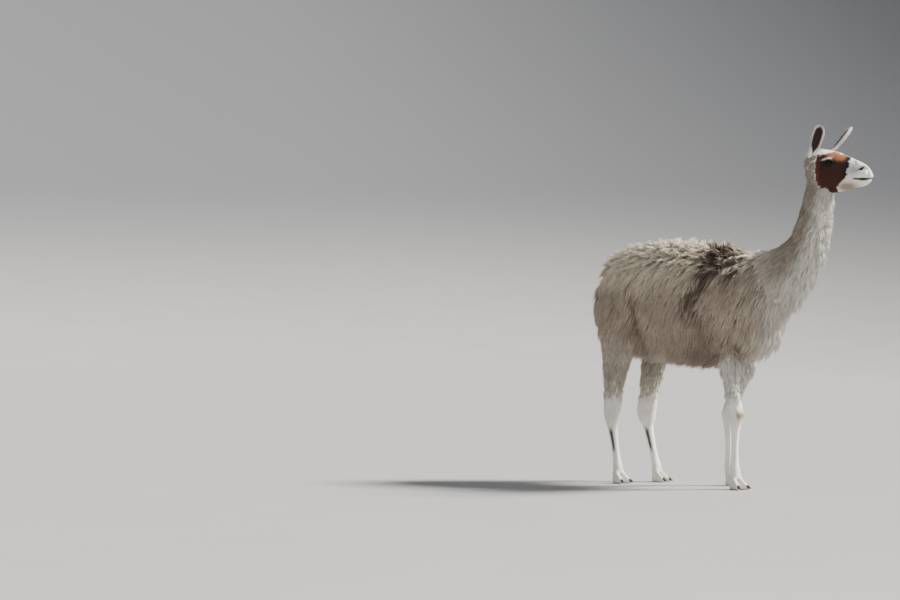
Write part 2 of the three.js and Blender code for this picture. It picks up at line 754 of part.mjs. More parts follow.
// The line of the mouth and the split of the upper lip, cut a little way into the head.
function mouthLine() {
  const { corner, up, gape, depth } = MOUTH;
  const across = 200;
  const lips = inHead(new THREE.BoxGeometry(corner + 20, across, gape), [10 - corner / 2, 0, up], [0, 2, 0]);
  const split = inHead(new THREE.BoxGeometry(30, gape, 34), [-4, 0, up + 17]);
  return lips.add(split).subtract(loft(headSurface(depth), 14, 14));
}

let head = loft(headSurface(0), 18, 20).subtract(neckRoom);
for (const [sideName, side] of [["right", -1], ["left", 1]]) {
  head = head
    .add(eyeball(side, EYE_RADIUS + GAP + LID, [14, 10]))
    .subtract(eyeball(side, EYE_RADIUS + GAP))
    .subtract(eyeSlit(side))
    .subtract(nostril(side));
  addNode(`eye_${sideName}`, eyeball(side, EYE_RADIUS), eyeGloss);
}
head = head.subtract(mouthLine());

// Ears: a crescent section carried up a curved line, open to the side and a little forward.

const EARS = [
  { name: "ear_right", side: -1, root: [-268, -52, 98], tip: [-219, -66, 229], bow: -10 },
  { name: "ear_left", side: 1, root: [-237, 58, 98], tip: [-148, 118, 230], bow: -6 },
];
const EAR_HALF_WIDTH = [
  [0, 17],
  [0.15, 23],
  [0.45, 27],
  [0.75, 21],
  [0.92, 11],
  [1, 4],
];

function earSurface({ side, root, tip, bow }, grow) {
  const width = smoothTable(EAR_HALF_WIDTH);
  const start = new THREE.Vector3(...root);
  const end = new THREE.Vector3(...tip);
  const open = new THREE.Vector3(0.35, side, 0.1).normalize();
  return (t, angle) => {
    const reach = t - grow / 150;
    const middle = start.clone().lerp(end, reach);
    middle.addScaledVector(open, -bow * Math.sin(Math.PI * t));
    const along = end.clone().sub(start).normalize();
    const out = open.clone().addScaledVector(along, -open.dot(along)).normalize();
    const across = new THREE.Vector3().crossVectors(along, out);
    const [, half] = width(THREE.MathUtils.clamp(t, 0, 1));
    // The outer half of the ring is the back of the ear, and the inner half is the cup.
    const back = Math.sin(angle) < 0;
    const cup = Math.min(1, t / 0.12) * (half - EAR_WALL * 0.9);
    const x = Math.cos(angle) * (half + grow);
    const y = back ? Math.sin(angle) * (half * 0.72 + grow) : -Math.sin(angle) * cup * 0.66 + 3 * grow;
    return middle.addScaledVector(across, x).addScaledVector(out, y).applyMatrix4(HEAD_MATRIX);
  };
}

for (const ear of EARS) {
  head = head.subtract(loft(earSurface(ear, GAP), 8, 12));
  addNode(ear.name, loft(earSurface(ear, 0), 8, 12), shortHair);
}

addNode("head", head, faceHair);

// The origin is on the floor, under the middle of the whole figure.

const whole = new THREE.Box3().setFromObject(llama);
const middle = whole.getCenter(new THREE.Vector3());
llama.position.set(-middle.x, -middle.y, 0);
llama.updateMatrixWorld(true);

export default llama;
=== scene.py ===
"""A life-size llama that stands still: one skin, two eyes, eight nails and a coat of solid tufts."""

import math

import bpy
import numpy as np
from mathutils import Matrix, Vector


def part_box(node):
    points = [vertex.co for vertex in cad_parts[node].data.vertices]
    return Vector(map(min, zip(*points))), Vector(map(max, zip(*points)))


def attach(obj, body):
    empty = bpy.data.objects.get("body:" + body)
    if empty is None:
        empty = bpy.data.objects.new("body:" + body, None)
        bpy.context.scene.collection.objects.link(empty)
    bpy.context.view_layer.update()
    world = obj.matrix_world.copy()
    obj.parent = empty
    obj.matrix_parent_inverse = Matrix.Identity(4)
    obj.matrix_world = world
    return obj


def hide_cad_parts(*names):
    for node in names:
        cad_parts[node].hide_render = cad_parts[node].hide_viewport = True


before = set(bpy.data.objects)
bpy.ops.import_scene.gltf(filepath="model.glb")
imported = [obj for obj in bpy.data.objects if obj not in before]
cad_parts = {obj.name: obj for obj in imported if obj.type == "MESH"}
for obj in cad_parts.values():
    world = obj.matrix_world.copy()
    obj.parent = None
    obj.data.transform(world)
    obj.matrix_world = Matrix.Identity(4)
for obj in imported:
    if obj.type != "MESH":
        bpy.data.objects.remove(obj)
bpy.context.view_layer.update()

# Camera
# The llama is worked out in its own frame: metres, +X to the nose, +Y to its left, floor at 0.
# The solids stand shifted from it, and the middle of the right eye tells by how much. The camera
# stands at the animal's front right, at the height of its belly, with a long lens.

MM = 0.001
NOSE = np.array([944, 36, 1398]) * MM  # tip of the upper lip
HEAD_TURN = math.radians(8)
EYE = np.array([188, 46, 64]) * MM  # middle of an eye, behind, beside and above the nose


def stacked(*parts):
    """Rows whose columns are the given parts, each widened to the shape that all share."""
    return np.stack(np.broadcast_arrays(*parts), axis=-1)


def from_head(points):
    """Points of the head's frame, backwards, to the left and up from the nose, in the llama's own.
    They are turned by the head's turn about the upright, and moved to the nose."""
    back, left, up = np.moveaxis(np.asarray(points, float), -1, 0)
    c = math.cos(HEAD_TURN)
    s = math.sin(HEAD_TURN)
    return NOSE + stacked(-back * c - left * s, -back * s + left * c, up)


eye_low, eye_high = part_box("eye_right")
ORIGIN = (np.array(eye_low) + np.array(eye_high)) / 2 - from_head(EYE * [1, -1, 1])
ORIGIN[2] = 0

VIEW_TURN = math.radians(41)  # from straight across the animal towards its front
VIEW_TILT = math.radians(0.675)
VIEW_POINT = np.array([6.388, -9.062, 0.73])

lens = bpy.data.cameras.new("camera")
lens.lens = 95
lens.sensor_width = 36
lens.clip_end = 200
camera = bpy.data.objects.new("camera", lens)
camera.location = VIEW_POINT + ORIGIN
camera.rotation_euler = (math.pi / 2 + VIEW_TILT, 0, VIEW_TURN)
bpy.context.scene.collection.objects.link(camera)
bpy.context.scene.camera = camera

# Trunk, neck, thighs and tail under the coat
# The body's bulk, as a vet would feel it under the fleece: a deep chest, a long neck and heavy
# thighs. Each is a tube through a few stations, inside the coat's outline by its depth, and the
# tubes are melted into one hide.

# Distance along, top, bottom and half width of the outline.
TRUNK = np.array([
    [-515, 940, 760, 62],
    [-488, 1018, 676, 100],
    [-445, 1074, 630, 140],
    [-385, 1116, 604, 180],
    [-300, 1143, 588, 214],
    [-190, 1153, 574, 237],
    [-60, 1157, 558, 244],
    [60, 1147, 546, 242],
    [180, 1137, 548, 228],
    [290, 1120, 562, 206],
    [375, 1072, 588, 178],
    [450, 1000, 626, 138],
    [496, 925, 680, 98],
    [520, 860, 736, 62],
]) * MM
# Forwards, up, half depth and half width of the neck's outline, from its root to the skull.
NECK = np.array([
    [362, 862, 170, 146],
    [464, 938, 164, 132],
    [562, 1014, 124, 110],
    [626, 1092, 101, 94],
    [659, 1172, 91, 84],
    [686, 1288, 80, 75],
    [694, 1352, 76, 58],
    [692, 1405, 58, 42],
    [692, 1440, 40, 36],
]) * MM
# Height, forwards, outwards, half depth and half width of each leg's outline.
FORELEG_RIGHT = np.array([
    [700, 288, 118, 70, 52],
    [600, 286, 118, 58, 48],
    [520, 290, 115, 48, 43],
    [430, 302, 112, 42, 37],
    [365, 316, 110, 34, 32],
    [330, 321, 110, 34, 32],
    [285, 317, 110, 24, 23],
    [200, 312, 110, 18, 17],
    [125, 311, 110, 20, 19],
    [85, 313, 110, 24, 26],
    [58, 316, 110, 23, 27],
]) * MM
FORELEG_LEFT = np.array([
    [700, 262, 118, 70, 52],
    [600, 232, 117, 60, 48],
    [520, 206, 114, 50, 43],
    [430, 168, 108, 42, 37],
    [365, 143, 104, 34, 32],
    [330, 134, 103, 34, 32],
    [285, 133, 102, 24, 23],
    [200, 135, 101, 18, 17],
    [125, 137, 100, 20, 19],
    [85, 140, 100, 24, 26],
    [58, 143, 100, 23, 27],
]) * MM
HINDLEG_RIGHT = np.array([
    [930, -345, 118, 88, 62],
    [840, -332, 126, 118, 82],
    [740, -325, 129, 114, 82],
    [650, -330, 128, 98, 72],
    [560, -345, 124, 78, 56],
    [470, -363, 118, 62, 46],
    [390, -375, 112, 50, 37],
    [340, -381, 108, 44, 33],
    [300, -384, 106, 37, 30],
    [260, -382, 105, 26, 25],
    [180, -370, 104, 20, 18],
    [115, -360, 103, 20, 19],
    [80, -355, 102, 23, 25],
    [58, -351, 102, 22, 26],
]) * MM
HINDLEG_LEFT = np.array([
    [930, -325, 118, 88, 62],
    [840, -308, 126, 118, 82],
    [740, -297, 129, 110, 80],
    [650, -296, 128, 92, 68],
    [560, -308, 124, 72, 52],
    [470, -325, 118, 62, 46],
    [390, -337, 114, 54, 38],
    [340, -342, 112, 51, 35],
    [300, -341, 111, 44, 32],
    [260, -333, 110, 28, 25],
    [180, -311, 107, 21, 19],
    [115, -291, 104, 20, 19],
    [80, -280, 102, 23, 25],
    [58, -274, 101, 22, 26],
]) * MM
# Height, forwards, half depth and half width of the tail's outline.
TAIL = np.array([
    [1000, -470, 28, 32],
    [950, -505, 30, 37],
    [890, -526, 32, 43],
    [810, -530, 33, 45],
    [740, -517, 29, 39],
    [680, -504, 21, 29],
    [640, -496, 12, 17],
]) * MM
LEGS = [
    {"name": "foreleg_right", "stations": FORELEG_RIGHT, "side": -1, "hind": False},
    {"name": "foreleg_left", "stations": FORELEG_LEFT, "side": 1, "hind": False},
    {"name": "hindleg_right", "stations": HINDLEG_RIGHT, "side": -1, "hind": True},
    {"name": "hindleg_left", "stations": HINDLEG_LEFT, "side": 1, "hind": True},
]
TRUNK_COAT = 56 * MM  # depth of the coat over each part
RUMP_COAT = 30 * MM
NECK_COAT = [38 * MM, 10 * MM]  # at its root and at the skull
THIGH_COAT = 17 * MM
BREAST_COAT = 32 * MM
TAIL_COAT = 17 * MM
RUMP_COAT_RUN = 0.19  # over which the coat deepens from the rump forwards
SHORT_COAT_FROM = 0.35  # heights between which a leg's coat thickens
SHORT_COAT_TO = 0.50
TRUNK_MIDDLE = 0.52  # share of the trunk's height at which it is widest
TRUNK_SQUARENESS = 2.3  # 2 is an ellipse, and more is squarer
LIMB_SQUARENESS = 2.1


def along_stations(rows, place):
    """Values at places on a smooth curve through rows that start with their place: between two
    rows it is a cubic, whose slope at each row is that of the line through its neighbours."""
    rows = rows if rows[0, 0] < rows[-1, 0] else rows[::-1]
    place = np.asarray(place, float)[..., None]
    last = len(rows) - 1
    before = np.maximum(np.arange(last + 1) - 1, 0)
    after = np.minimum(np.arange(last + 1) + 1, last)
    slopes = (rows[after] - rows[before]) / (rows[after, :1] - rows[before, :1])
    i = np.clip(np.searchsorted(rows[:, 0], place[..., 0], side="right") - 1, 0, last - 1)
    span = rows[i + 1, :1] - rows[i, :1]
    t = np.clip((place - rows[i, :1]) / span, 0, 1)
    rise = t * t * (3 - 2 * t)
    values = rows[i] + (rows[i + 1] - rows[i]) * rise
    values = values + slopes[i] * t * (1 - t) ** 2 * span + slopes[i + 1] * t * t * (t - 1) * span
    return np.moveaxis(values[..., 1:], -1, 0)


def rounded(angle, half_width, up, down, squareness):
    """Across and rise of a rounded section at an angle, from its side at 0 to its top at a quarter
    turn: an ellipse whose sine and cosine are raised to the power of 2 / squareness."""
    c = np.cos(angle)
    s = np.sin(angle)
    across = np.sign(c) * np.abs(c) ** (2 / squareness) * half_width
    return across, np.sign(s) * np.abs(s) ** (2 / squareness) * np.where(s > 0, up, down)


def smoothstep(value, low, high):
    """A smooth step from 0 at low to 1 at high."""
    t = np.clip((value - low) / (high - low), 0, 1)
    return t * t * (3 - 2 * t)


def bell(*offsets):
    """A bell over one or more offsets: e to the power of minus the sum of their squares."""
    return np.exp(-sum(offset ** 2 for offset in offsets))


def ring_angles(sides):
    """Angles once round a section, as a row."""
    return np.linspace(0, 2 * math.pi, sides, endpoint=False)[None, :]


FOLD_DEPTH = 20 * MM  # crease between flank and thigh
FOLD_WIDTH = 24 * MM
THIGH_SWELL = 12 * MM


def flank_fold(x, z):
    """How strongly a place on the flank lies in the crease before the thigh, from 0 to 1: a bell
    across a line that leans forwards as it runs down."""
    line = -0.165 - 0.035 * smoothstep(z, 0.68, 0.95)
    return bell((x - line) / FOLD_WIDTH) * smoothstep(z, 0.56, 0.64) * (1 - smoothstep(z, 0.86, 0.98))


def trunk_coat(x):
    """Depth of the coat at a distance along the trunk's outline, thinner at the rump."""
    start = TRUNK[0, 0]
    return RUMP_COAT + (TRUNK_COAT - RUMP_COAT) * smoothstep(x, start, start + RUMP_COAT_RUN)


def trunk_hide(rings=90, sides=96):
    """The trunk: at each distance along it a squarish section, inset by the coat's depth, with the
    thigh swelling behind the crease of the flank."""
    rump = TRUNK[0, 0] + RUMP_COAT
    breast = TRUNK[-1, 0] - BREAST_COAT
    spread = 0.5 - 0.5 * np.cos(math.pi * np.linspace(0.015, 0.985, rings))[:, None]
    x = rump + (breast - rump) * spread
    outline = TRUNK[0, 0] + (TRUNK[-1, 0] - TRUNK[0, 0]) * (x - rump) / (breast - rump)
    top, bottom, half_width = along_stations(TRUNK, outline)
    middle = bottom + TRUNK_MIDDLE * (top - bottom)
    inset = trunk_coat(outline)
    up = top - middle - inset
    down = middle - bottom - inset
    y, rise = rounded(ring_angles(sides), half_width - inset, up, down, TRUNK_SQUARENESS)
    z = middle + rise
    thigh = bell((x + 0.31) / 0.09, (z - 0.80) / 0.14)
    swell = THIGH_SWELL * thigh - FOLD_DEPTH * flank_fold(x, z)
    y = y + np.sign(y) * swell * smoothstep(np.abs(y), 0.04, 0.12)
    return stacked(x, y, z)


NECK_PLACES = np.arange(len(NECK))[:, None]


def neck_line(place):
    """A place on the neck's middle line: forwards, up, half depth, half width and the way along."""
    rows = np.hstack([NECK_PLACES, NECK])
    end = len(NECK) - 1
    x, z, depth, width = along_stations(rows, place)
    ahead = along_stations(rows, np.minimum(place + 0.1, end))
    behind = along_stations(rows, np.maximum(place - 0.1, 0))
    run = ahead[0] - behind[0]
    climb = ahead[1] - behind[1]
    size = np.hypot(run, climb)
    return x, z, depth, width, run / size, climb / size


def neck_hide(rings=70, sides=72):
    """The neck: rounded sections that stand square to its middle line."""
    place = np.linspace(0, len(NECK) - 1, rings)[:, None]
    x, z, depth, width, run, climb = neck_line(place)
    inset = NECK_COAT[0] + (NECK_COAT[1] - NECK_COAT[0]) * place / (len(NECK) - 1)
    half = depth - inset
    side, fore = rounded(ring_angles(sides), width - inset, half, half, LIMB_SQUARENESS)
    return stacked(x + fore * climb, side, z - fore * run)


def leg_hide(leg, top, bottom, rings=60, sides=48):
    """A leg between two heights: rounded level sections, inset by the coat where it is long. It
    ends inside the lower leg."""
    z = np.linspace(top, bottom, rings)[:, None]
    x, y, depth, width = along_stations(leg["stations"], z)
    inset = THIGH_COAT * smoothstep(z, SHORT_COAT_FROM, SHORT_COAT_TO)
    inset = inset + 14 * MM * (1 - smoothstep(z, bottom, bottom + 0.05))
    inset = inset + 32 * MM * (smoothstep(z, 0.76, top) if leg["hind"] else smoothstep(z, 0.56, top))
    half = depth - inset
    across, fore = rounded(ring_angles(sides), width - inset, half, half, LIMB_SQUARENESS)
    return stacked(x + fore, leg["side"] * y + across, z)


def tail_hide(rings=40, sides=24):
    """The tail's core: rounded level sections that end short of the hair's tip."""
    z = np.linspace(TAIL[0, 0], TAIL[-1, 0] + 0.05, rings)[:, None]
    x, depth, width = along_stations(TAIL, z)
    inset = np.minimum(TAIL_COAT, depth * 0.6)
    across, fore = rounded(ring_angles(sides), width - inset, depth - inset, depth - inset, 2)
    return stacked(x + fore, across, z)


def tube(grid):
    """Points and faces of a closed tube: a grid of rings, with a pole in the middle of each end."""
    rings, sides = grid.shape[:2]
    points = np.vstack([grid.reshape(-1, 3), grid[0].mean(0), grid[-1].mean(0)])
    ring = np.arange(rings - 1)[:, None] * sides
    here = np.arange(sides)[None, :]
    beside = (here + 1) % sides
    quads = stacked(ring + here, ring + beside, ring + sides + beside, ring + sides + here)
    first = stacked(beside[0], here[0], rings * sides)
    end = (rings - 1) * sides
    last = stacked(end + here[0], end + beside[0], rings * sides + 1)
    return points, [quads.reshape(-1, 4), first, last]


def joined(parts):
    """Several lists of points and faces as one."""
    points = []
    faces = []
    count = 0
    for part_points, part_faces in parts:
        points.append(part_points)
        faces.extend(face + count for face in part_faces)
        count += len(part_points)
    return np.vstack(points), faces


def values_of(items, name, size, kind):
    """The values of one name that a mesh's items hold, as rows of a size."""
    values = np.empty(len(items) * size, kind)
    items.foreach_get(name, values)
    return values.reshape(-1, size)


def new_mesh(name, points, faces):
    """A mesh of points in the llama's frame and arrays of faces, with faces that point outwards."""
    mesh = bpy.data.meshes.new(name)
    corners = np.concatenate([face.ravel() for face in faces]).astype(np.int32)
    sizes = np.concatenate([np.full(len(face), face.shape[1]) for face in faces])
    starts = np.cumsum(sizes) - sizes
    mesh.vertices.add(len(points))
    mesh.vertices.foreach_set("co", (points + ORIGIN).astype(np.float32).ravel())
    mesh.loops.add(len(corners))
    mesh.loops.foreach_set("vertex_index", corners)
    mesh.polygons.add(len(sizes))
    mesh.polygons.foreach_set("loop_start", starts.astype(np.int32))
    mesh.polygons.foreach_set("use_smooth", np.ones(len(sizes), bool))
    mesh.update(calc_edges=True)
    return mesh


def new_piece(name, mesh):
    """An object of a mesh, at the origin of the scene."""
    piece = bpy.data.objects.new(name, mesh)
    bpy.context.scene.collection.objects.link(piece)
    return piece


def faces_out(mesh):
    """Turns a closed mesh's faces outwards, by the sign of the volume that they shut in."""
    mesh.calc_loop_triangles()
    corners = values_of(mesh.loop_triangles, "vertices", 3, np.int32)
    places = values_of(mesh.vertices, "co", 3, np.float32)
    a, b, c = places[corners].astype(float).transpose(1, 0, 2)
    if np.einsum("ij,ij->i", a, np.cross(b, c)).sum() < 0:
        mesh.flip_normals()
    return mesh


def melted(name, tubes, voxel, smoothing):
    """One surface of several closed tubes: remeshed in voxels, so that where they cross they
    become one, and then smoothed, so that they flow into each other."""
    parts = [new_piece(name, faces_out(new_mesh(name, *tube(grid)))) for grid in tubes]
    bpy.ops.object.select_all(action="DESELECT")
    for piece in parts:
        piece.select_set(True)
    bpy.context.view_layer.objects.active = parts[0]
    bpy.ops.object.join()
    whole = parts[0]
    remesh = whole.modifiers.new("remesh", "REMESH")
    remesh.mode = "VOXEL"
    remesh.voxel_size = voxel
    smooth = whole.modifiers.new("smooth", "SMOOTH")
    smooth.factor = 0.5
    smooth.iterations = smoothing
    graph = bpy.context.evaluated_depsgraph_get()
    mesh = bpy.data.meshes.new_from_object(whole.evaluated_get(graph))
    points = values_of(mesh.vertices, "co", 3, np.float32)
    corners = values_of(mesh.loops, "vertex_index", 1, np.int32)
    bpy.data.objects.remove(whole)
    return points.astype(float) - ORIGIN, [corners.reshape(-1, 4)]


WITHERS_HALF_WIDTH = 82 * MM
WITHERS_HALF_HEIGHT = 78 * MM


def withers_hide(rings=24, sides=36):
    """The crest where neck and back meet: rounded upright sections whose size is the power 0.4 of
    a sine along it."""
    share = np.linspace(0.02, 0.98, rings)[:, None]
    size = np.sin(math.pi * share) ** 0.4
    x = 0.20 + 0.30 * share
    half = WITHERS_HALF_HEIGHT * size
    across, rise = rounded(ring_angles(sides), WITHERS_HALF_WIDTH * size, half, half, 2)
    z = 0.992 - 0.02 * share + rise
    return stacked(x, across, z)


UPPER_LEG_END = 0.40  # inside the lower leg's hide
BODY_VOXEL = 10.5 * MM
BODY_SMOOTHING = 8
body_tubes = [trunk_hide(), neck_hide(), tail_hide(), withers_hide()]
for leg in LEGS:
    body_tubes.append(leg_hide(leg, leg["stations"][0, 0], UPPER_LEG_END))
body_hide = melted("body_hide", body_tubes, BODY_VOXEL, BODY_SMOOTHING)

# Head
# The llama's head under its short hair: a long narrow muzzle with slit nostrils and a cleft upper
# lip, deep cheeks, and eyes set wide under a brow, with thick lids drawn over them. It is a tube
# through the stations of its outline, pushed in and out where bone and lips shape it.

# Distance behind the nose, top, bottom and half width of the head's outline.
HEAD = np.array([
    [2, 10, -12, 11],
    [12, 31, -27, 21],
    [28, 49, -40, 28],
    [48, 62, -47, 32],
    [78, 77, -51, 36],
    [121, 97, -60, 46],
    [163, 115, -68, 60],
    [205, 125, -71, 70],
    [245, 130, -64, 71],
    [280, 124, -34, 62],
    [303, 104, 16, 42],
]) * MM
FACE_COAT = 3 * MM
EYE_RADIUS = 19 * MM
LID = 2.4 * MM
EYE_FORWARDS = math.radians(26)
EYE_TILT = math.radians(-6)
SLIT_LENGTH = 17 * MM  # halves of the opening between the lids
SLIT_HEIGHT = 9 * MM
# Swellings and hollows of each cheek: behind the nose, up, reach along, reach up, tilt, depth.
CHEEK_FORMS = np.array([
    [186, 92, 30, 8, -6, 4],  # brow
    [168, 38, 32, 8, 10, 3],  # cheekbone
    [128, 8, 24, 24, 0, -5],  # hollow before the jaw's muscle
    [222, -18, 30, 32, 0, 4],  # the jaw's muscle
    [92, 42, 24, 12, -20, -3.5],  # hollow beside the nose
    [76, 66, 15, 3, -48, -3],  # fold over the nostril's root
    [31, 51, 18, 6, -22, 4.5],  # wing of the nostril
    [40, 22, 15, 6, -12, 3.5],  # lower rim of the nostril
    [14, 12, 3.2, 18, -12, -5.5],  # crease from the nostril to the mouth
    [30, 5, 19, 9, -6, 6],  # upper lip
    [84, -11, 7, 5, 0, -3],  # corner of the mouth
    [22, -25, 15, 6, 0, 4],  # lower lip
    [62, -30, 16, 6, 4, -2.5],  # hollow behind the lower lip
    [42, -42, 13, 6, 0, 3],  # chin
    [150, -58, 55, 7, -4, 2],  # edge of the jaw
])
NOSTRIL = [35, 36, 23, 6.6, -15, -19]  # the same, for its slit
MOUTH_CORNER = 84 * MM
MOUTH_UP = -11 * MM
LIP_GROOVE = 8 * MM
LIP_CLEFT = 4.5 * MM


def form_depth(back, up, form):
    """Depth of a swelling at a place on the cheek: a bell over a tilted oval."""
    middle_back, middle_up, reach, height, tilt, depth = form
    turn = math.radians(tilt)
    behind = back / MM - middle_back
    over = up / MM - middle_up
    along = (behind * math.cos(turn) + over * math.sin(turn)) / reach
    across = (over * math.cos(turn) - behind * math.sin(turn)) / height
    return depth * MM * np.exp(-(along ** 2 + across ** 2) / 2 * 1.6)


def mouth_line(behind):
    """Height of the line of the mouth at a distance behind the nose: a sloping line, with half a
    sine wave that sags between the nose and the mouth's corner."""
    return MOUTH_UP + 0.03 * behind - 3 * MM * np.sin(behind / MOUTH_CORNER * math.pi)


def crowded(count, low, high, places, reach, crowd):
    """Values from low to high that stand closer together near some places: they cut the area
    under 1 plus a bell of the given crowd at each place into equal parts."""
    fine = np.linspace(low, high, 4000)
    density = 1 + sum(crowd * bell((fine - place) / reach) for place in places)
    area = np.cumsum(density)
    return np.interp(np.linspace(area[0], area[-1], count), area, fine)


def eye_ways(side):
    """The ways straight out of an eye and level backwards across it, in the head's frame."""
    c = math.cos(EYE_FORWARDS)
    s = math.sin(EYE_FORWARDS)
    return np.array([-s, side * c, 0]), np.array([c, side * s, 0])


def slit_height(along):
    """Half height of the almond between the lids at places along it: an arc through its ends,
    whose radius comes from its half length and half height."""
    arc = (SLIT_LENGTH ** 2 + SLIT_HEIGHT ** 2) / (2 * SLIT_HEIGHT)
    return np.sqrt(np.maximum(arc ** 2 - along ** 2, 0)) - (arc - SLIT_HEIGHT)


def lidded(points, side):
    """Points of the head near one eye drawn over the eyeball: outside the almond between the lids
    they lie on a ball a lid's thickness larger than the eye, and inside it they sink behind it."""
    way_out, backwards = eye_ways(side)
    offset = points - EYE * [1, side, 1]
    depth = offset @ way_out
    level = offset @ backwards
    upright = offset[..., 2]
    along = level * math.cos(EYE_TILT) + upright * math.sin(EYE_TILT)
    over = upright * math.cos(EYE_TILT) - level * math.sin(EYE_TILT)
    edge = slit_height(along) - np.abs(over)
    opened = smoothstep(edge, -0.8 * MM, 1.0 * MM)
    roll = 1.3 * MM * bell((edge + 2.2 * MM) / (1.6 * MM))
    crease = -1.6 * MM * bell((edge + 6.5 * MM) / (1.5 * MM)) * (over > 0)
    distance = np.hypot(along, over)
    radius = EYE_RADIUS + LID + roll + crease - 6.5 * MM * opened
    ball = np.sqrt(np.maximum(radius ** 2 - distance ** 2, 0))
    near = (1 - smoothstep(distance, 16.5 * MM, 27 * MM)) * (depth > 0)
    shift = (np.maximum(ball, depth * (1 - opened)) * (1 - opened) + ball * opened - depth) * near
    return points + shift[..., None] * way_out


def surface_normals(grid):
    """Outward directions of a closed grid of rings, from its steps along and around."""
    along = np.gradient(grid, axis=0)
    around = (np.roll(grid, -1, axis=1) - np.roll(grid, 1, axis=1)) / 2
    normal = np.cross(along, around)
    normal /= np.maximum(np.linalg.norm(normal, axis=-1, keepdims=True), 1e-12)
    middle = grid.mean(axis=1, keepdims=True)
    flip = np.sign(((grid - middle) * normal).sum(axis=-1, keepdims=True).mean(axis=1, keepdims=True))
    return normal * flip


def head_outline(back, angle):
    """The head's section at a distance behind the nose, squarish, and narrower to crown and jaw."""
    top, bottom, half_width = along_stations(HEAD, back)
    middle = (top + bottom) / 2
    half = (top - bottom) / 2 - FACE_COAT
    left, rise = rounded(angle, half_width - FACE_COAT, half, half, 2.15)
    height = rise / half
    narrow = 1 - 0.22 * np.maximum(height, 0) ** 2 - 0.14 * np.maximum(-height, 0) ** 2
    return stacked(back, left * narrow, middle + rise)


def head_hide(rings=205, sides=184):
    """The head: its outline, pushed along its normals by the cheeks' forms, the nostrils, the line
    of the mouth and the cleft of the lip, and drawn over the eyes."""
    back = crowded(rings, 5 * MM, 300 * MM, [188 * MM, 10 * MM], 30 * MM, 1.6)[:, None]
    eyes = [math.radians(24), math.radians(156)]
    angle = crowded(sides + 1, -math.pi / 2, 3 * math.pi / 2, eyes, 0.35, 1.3)
    points = head_outline(back, angle[None, :-1])
    normals = surface_normals(points)
    behind, left, up = np.moveaxis(points, -1, 0)
    beside = smoothstep(np.abs(left), 3 * MM, 15 * MM)
    depth = sum(form_depth(behind, up, form) for form in CHEEK_FORMS) * beside
    depth = depth + form_depth(behind, up, NOSTRIL) * smoothstep(np.abs(left), 5 * MM, 12 * MM)
    parted = 1.5 * MM * bell((behind - 38 * MM) / (16 * MM))
    mouth_gap = bell((up - mouth_line(behind)) / (3.2 * MM + parted))
    mouth_gap = mouth_gap * (1 - smoothstep(behind, MOUTH_CORNER - 10 * MM, MOUTH_CORNER))
    depth = depth - LIP_GROOVE * mouth_gap
    cleft = bell(left / (2.2 * MM)) * smoothstep(up, MOUTH_UP, MOUTH_UP + 4 * MM)
    cleft = cleft * (1 - smoothstep(up, 12 * MM, 26 * MM)) * (1 - smoothstep(behind, 20 * MM, 32 * MM))
    depth = depth - LIP_CLEFT * cleft
    points = points + depth[..., None] * normals
    for side in (-1, 1):
        points = lidded(points, side)
    return points


# Ears
# Tall ears like curved spear points, each a stiff folded leaf of gristle. The cup inside is deep
# and nearly bare, its rims carry white hair, and its back is furred. Each is a crescent section
# carried up a bowed line.

EARS = [
    {
        "name": "ear_right",
        "root": [268, -52, 98],
        "tip": [219, -66, 229],
        "faces": [-0.35, -1, 0.1],
        "bow": -10,
    },
    {
        "name": "ear_left",
        "root": [237, 58, 98],
        "tip": [148, 118, 230],
        "faces": [-0.8, 0.62, 0.1],
        "bow": -6,
    },
]
# Place from root to tip, and half width there.
EAR_HALF_WIDTH = np.array([
    [0, 16 * MM],
    [0.15, 21 * MM],
    [0.45, 26 * MM],
    [0.68, 27.5 * MM],
    [0.84, 24 * MM],
    [0.94, 16 * MM],
    [1, 6 * MM],
])
EAR_WALL = 3.2 * MM
EAR_COAT = 1.5 * MM
EAR_DEEP = 0.72  # depth of an ear's back, in its half width
CUP_DEEP = 0.66


def ear_opening(ear):
    """The way that an ear's cup faces."""
    opening = np.array(ear["faces"])
    return opening / np.linalg.norm(opening)


def ear_frame(ear):
    """An ear's root, the way from there to its tip, and the ways across the ear and out of its
    cup, in the head's frame."""
    root = np.array(ear["root"]) * MM
    rise = np.array(ear["tip"]) * MM - root
    along = rise / np.linalg.norm(rise)
    opening = ear_opening(ear)
    out = opening - along * (opening @ along)
    out /= np.linalg.norm(out)
    return root, rise, np.cross(along, out), out


def ear_line(ear, place):
    """The middle line from an ear's root at places along it, bowed away from its opening by half a
    sine wave."""
    place = np.asarray(place, float)
    rise = ear_frame(ear)[1]
    bow = ear["bow"] * MM * np.sin(math.pi * place)
    return rise * place[..., None] - ear_opening(ear) * bow[..., None]


def ear_points(ear, place, angle, coat):
    """Points of an ear's crescent at places along it and angles round it. The half of the ring
    below 0 is its back, and the other half lines the cup, with a fold running up the middle."""
    root, _, across, out = ear_frame(ear)
    half = along_stations(EAR_HALF_WIDTH, np.clip(place, 0, 1))[0] - coat
    cup = smoothstep(place, -0.02, 0.16) * np.maximum(half - EAR_WALL, 0)
    sine = np.sin(angle)
    fold = 1 + 0.10 * bell((np.cos(angle) - 0.15) / 0.16)
    depth = np.where(sine < 0, sine * half * EAR_DEEP, -sine * cup * CUP_DEEP / fold)
    sway = np.cos(angle) * half
    return root + ear_line(ear, place) + sway[..., None] * across + depth[..., None] * out


def ear_hide(ear, rings=52, sides=56):
    """An ear's skin, from a little inside the head to its tip."""
    place = np.linspace(-0.10, 0.995, rings)[:, None]
    angle = ring_angles(sides) + 0 * place
    return ear_points(ear, place + 0 * angle, angle, EAR_COAT)


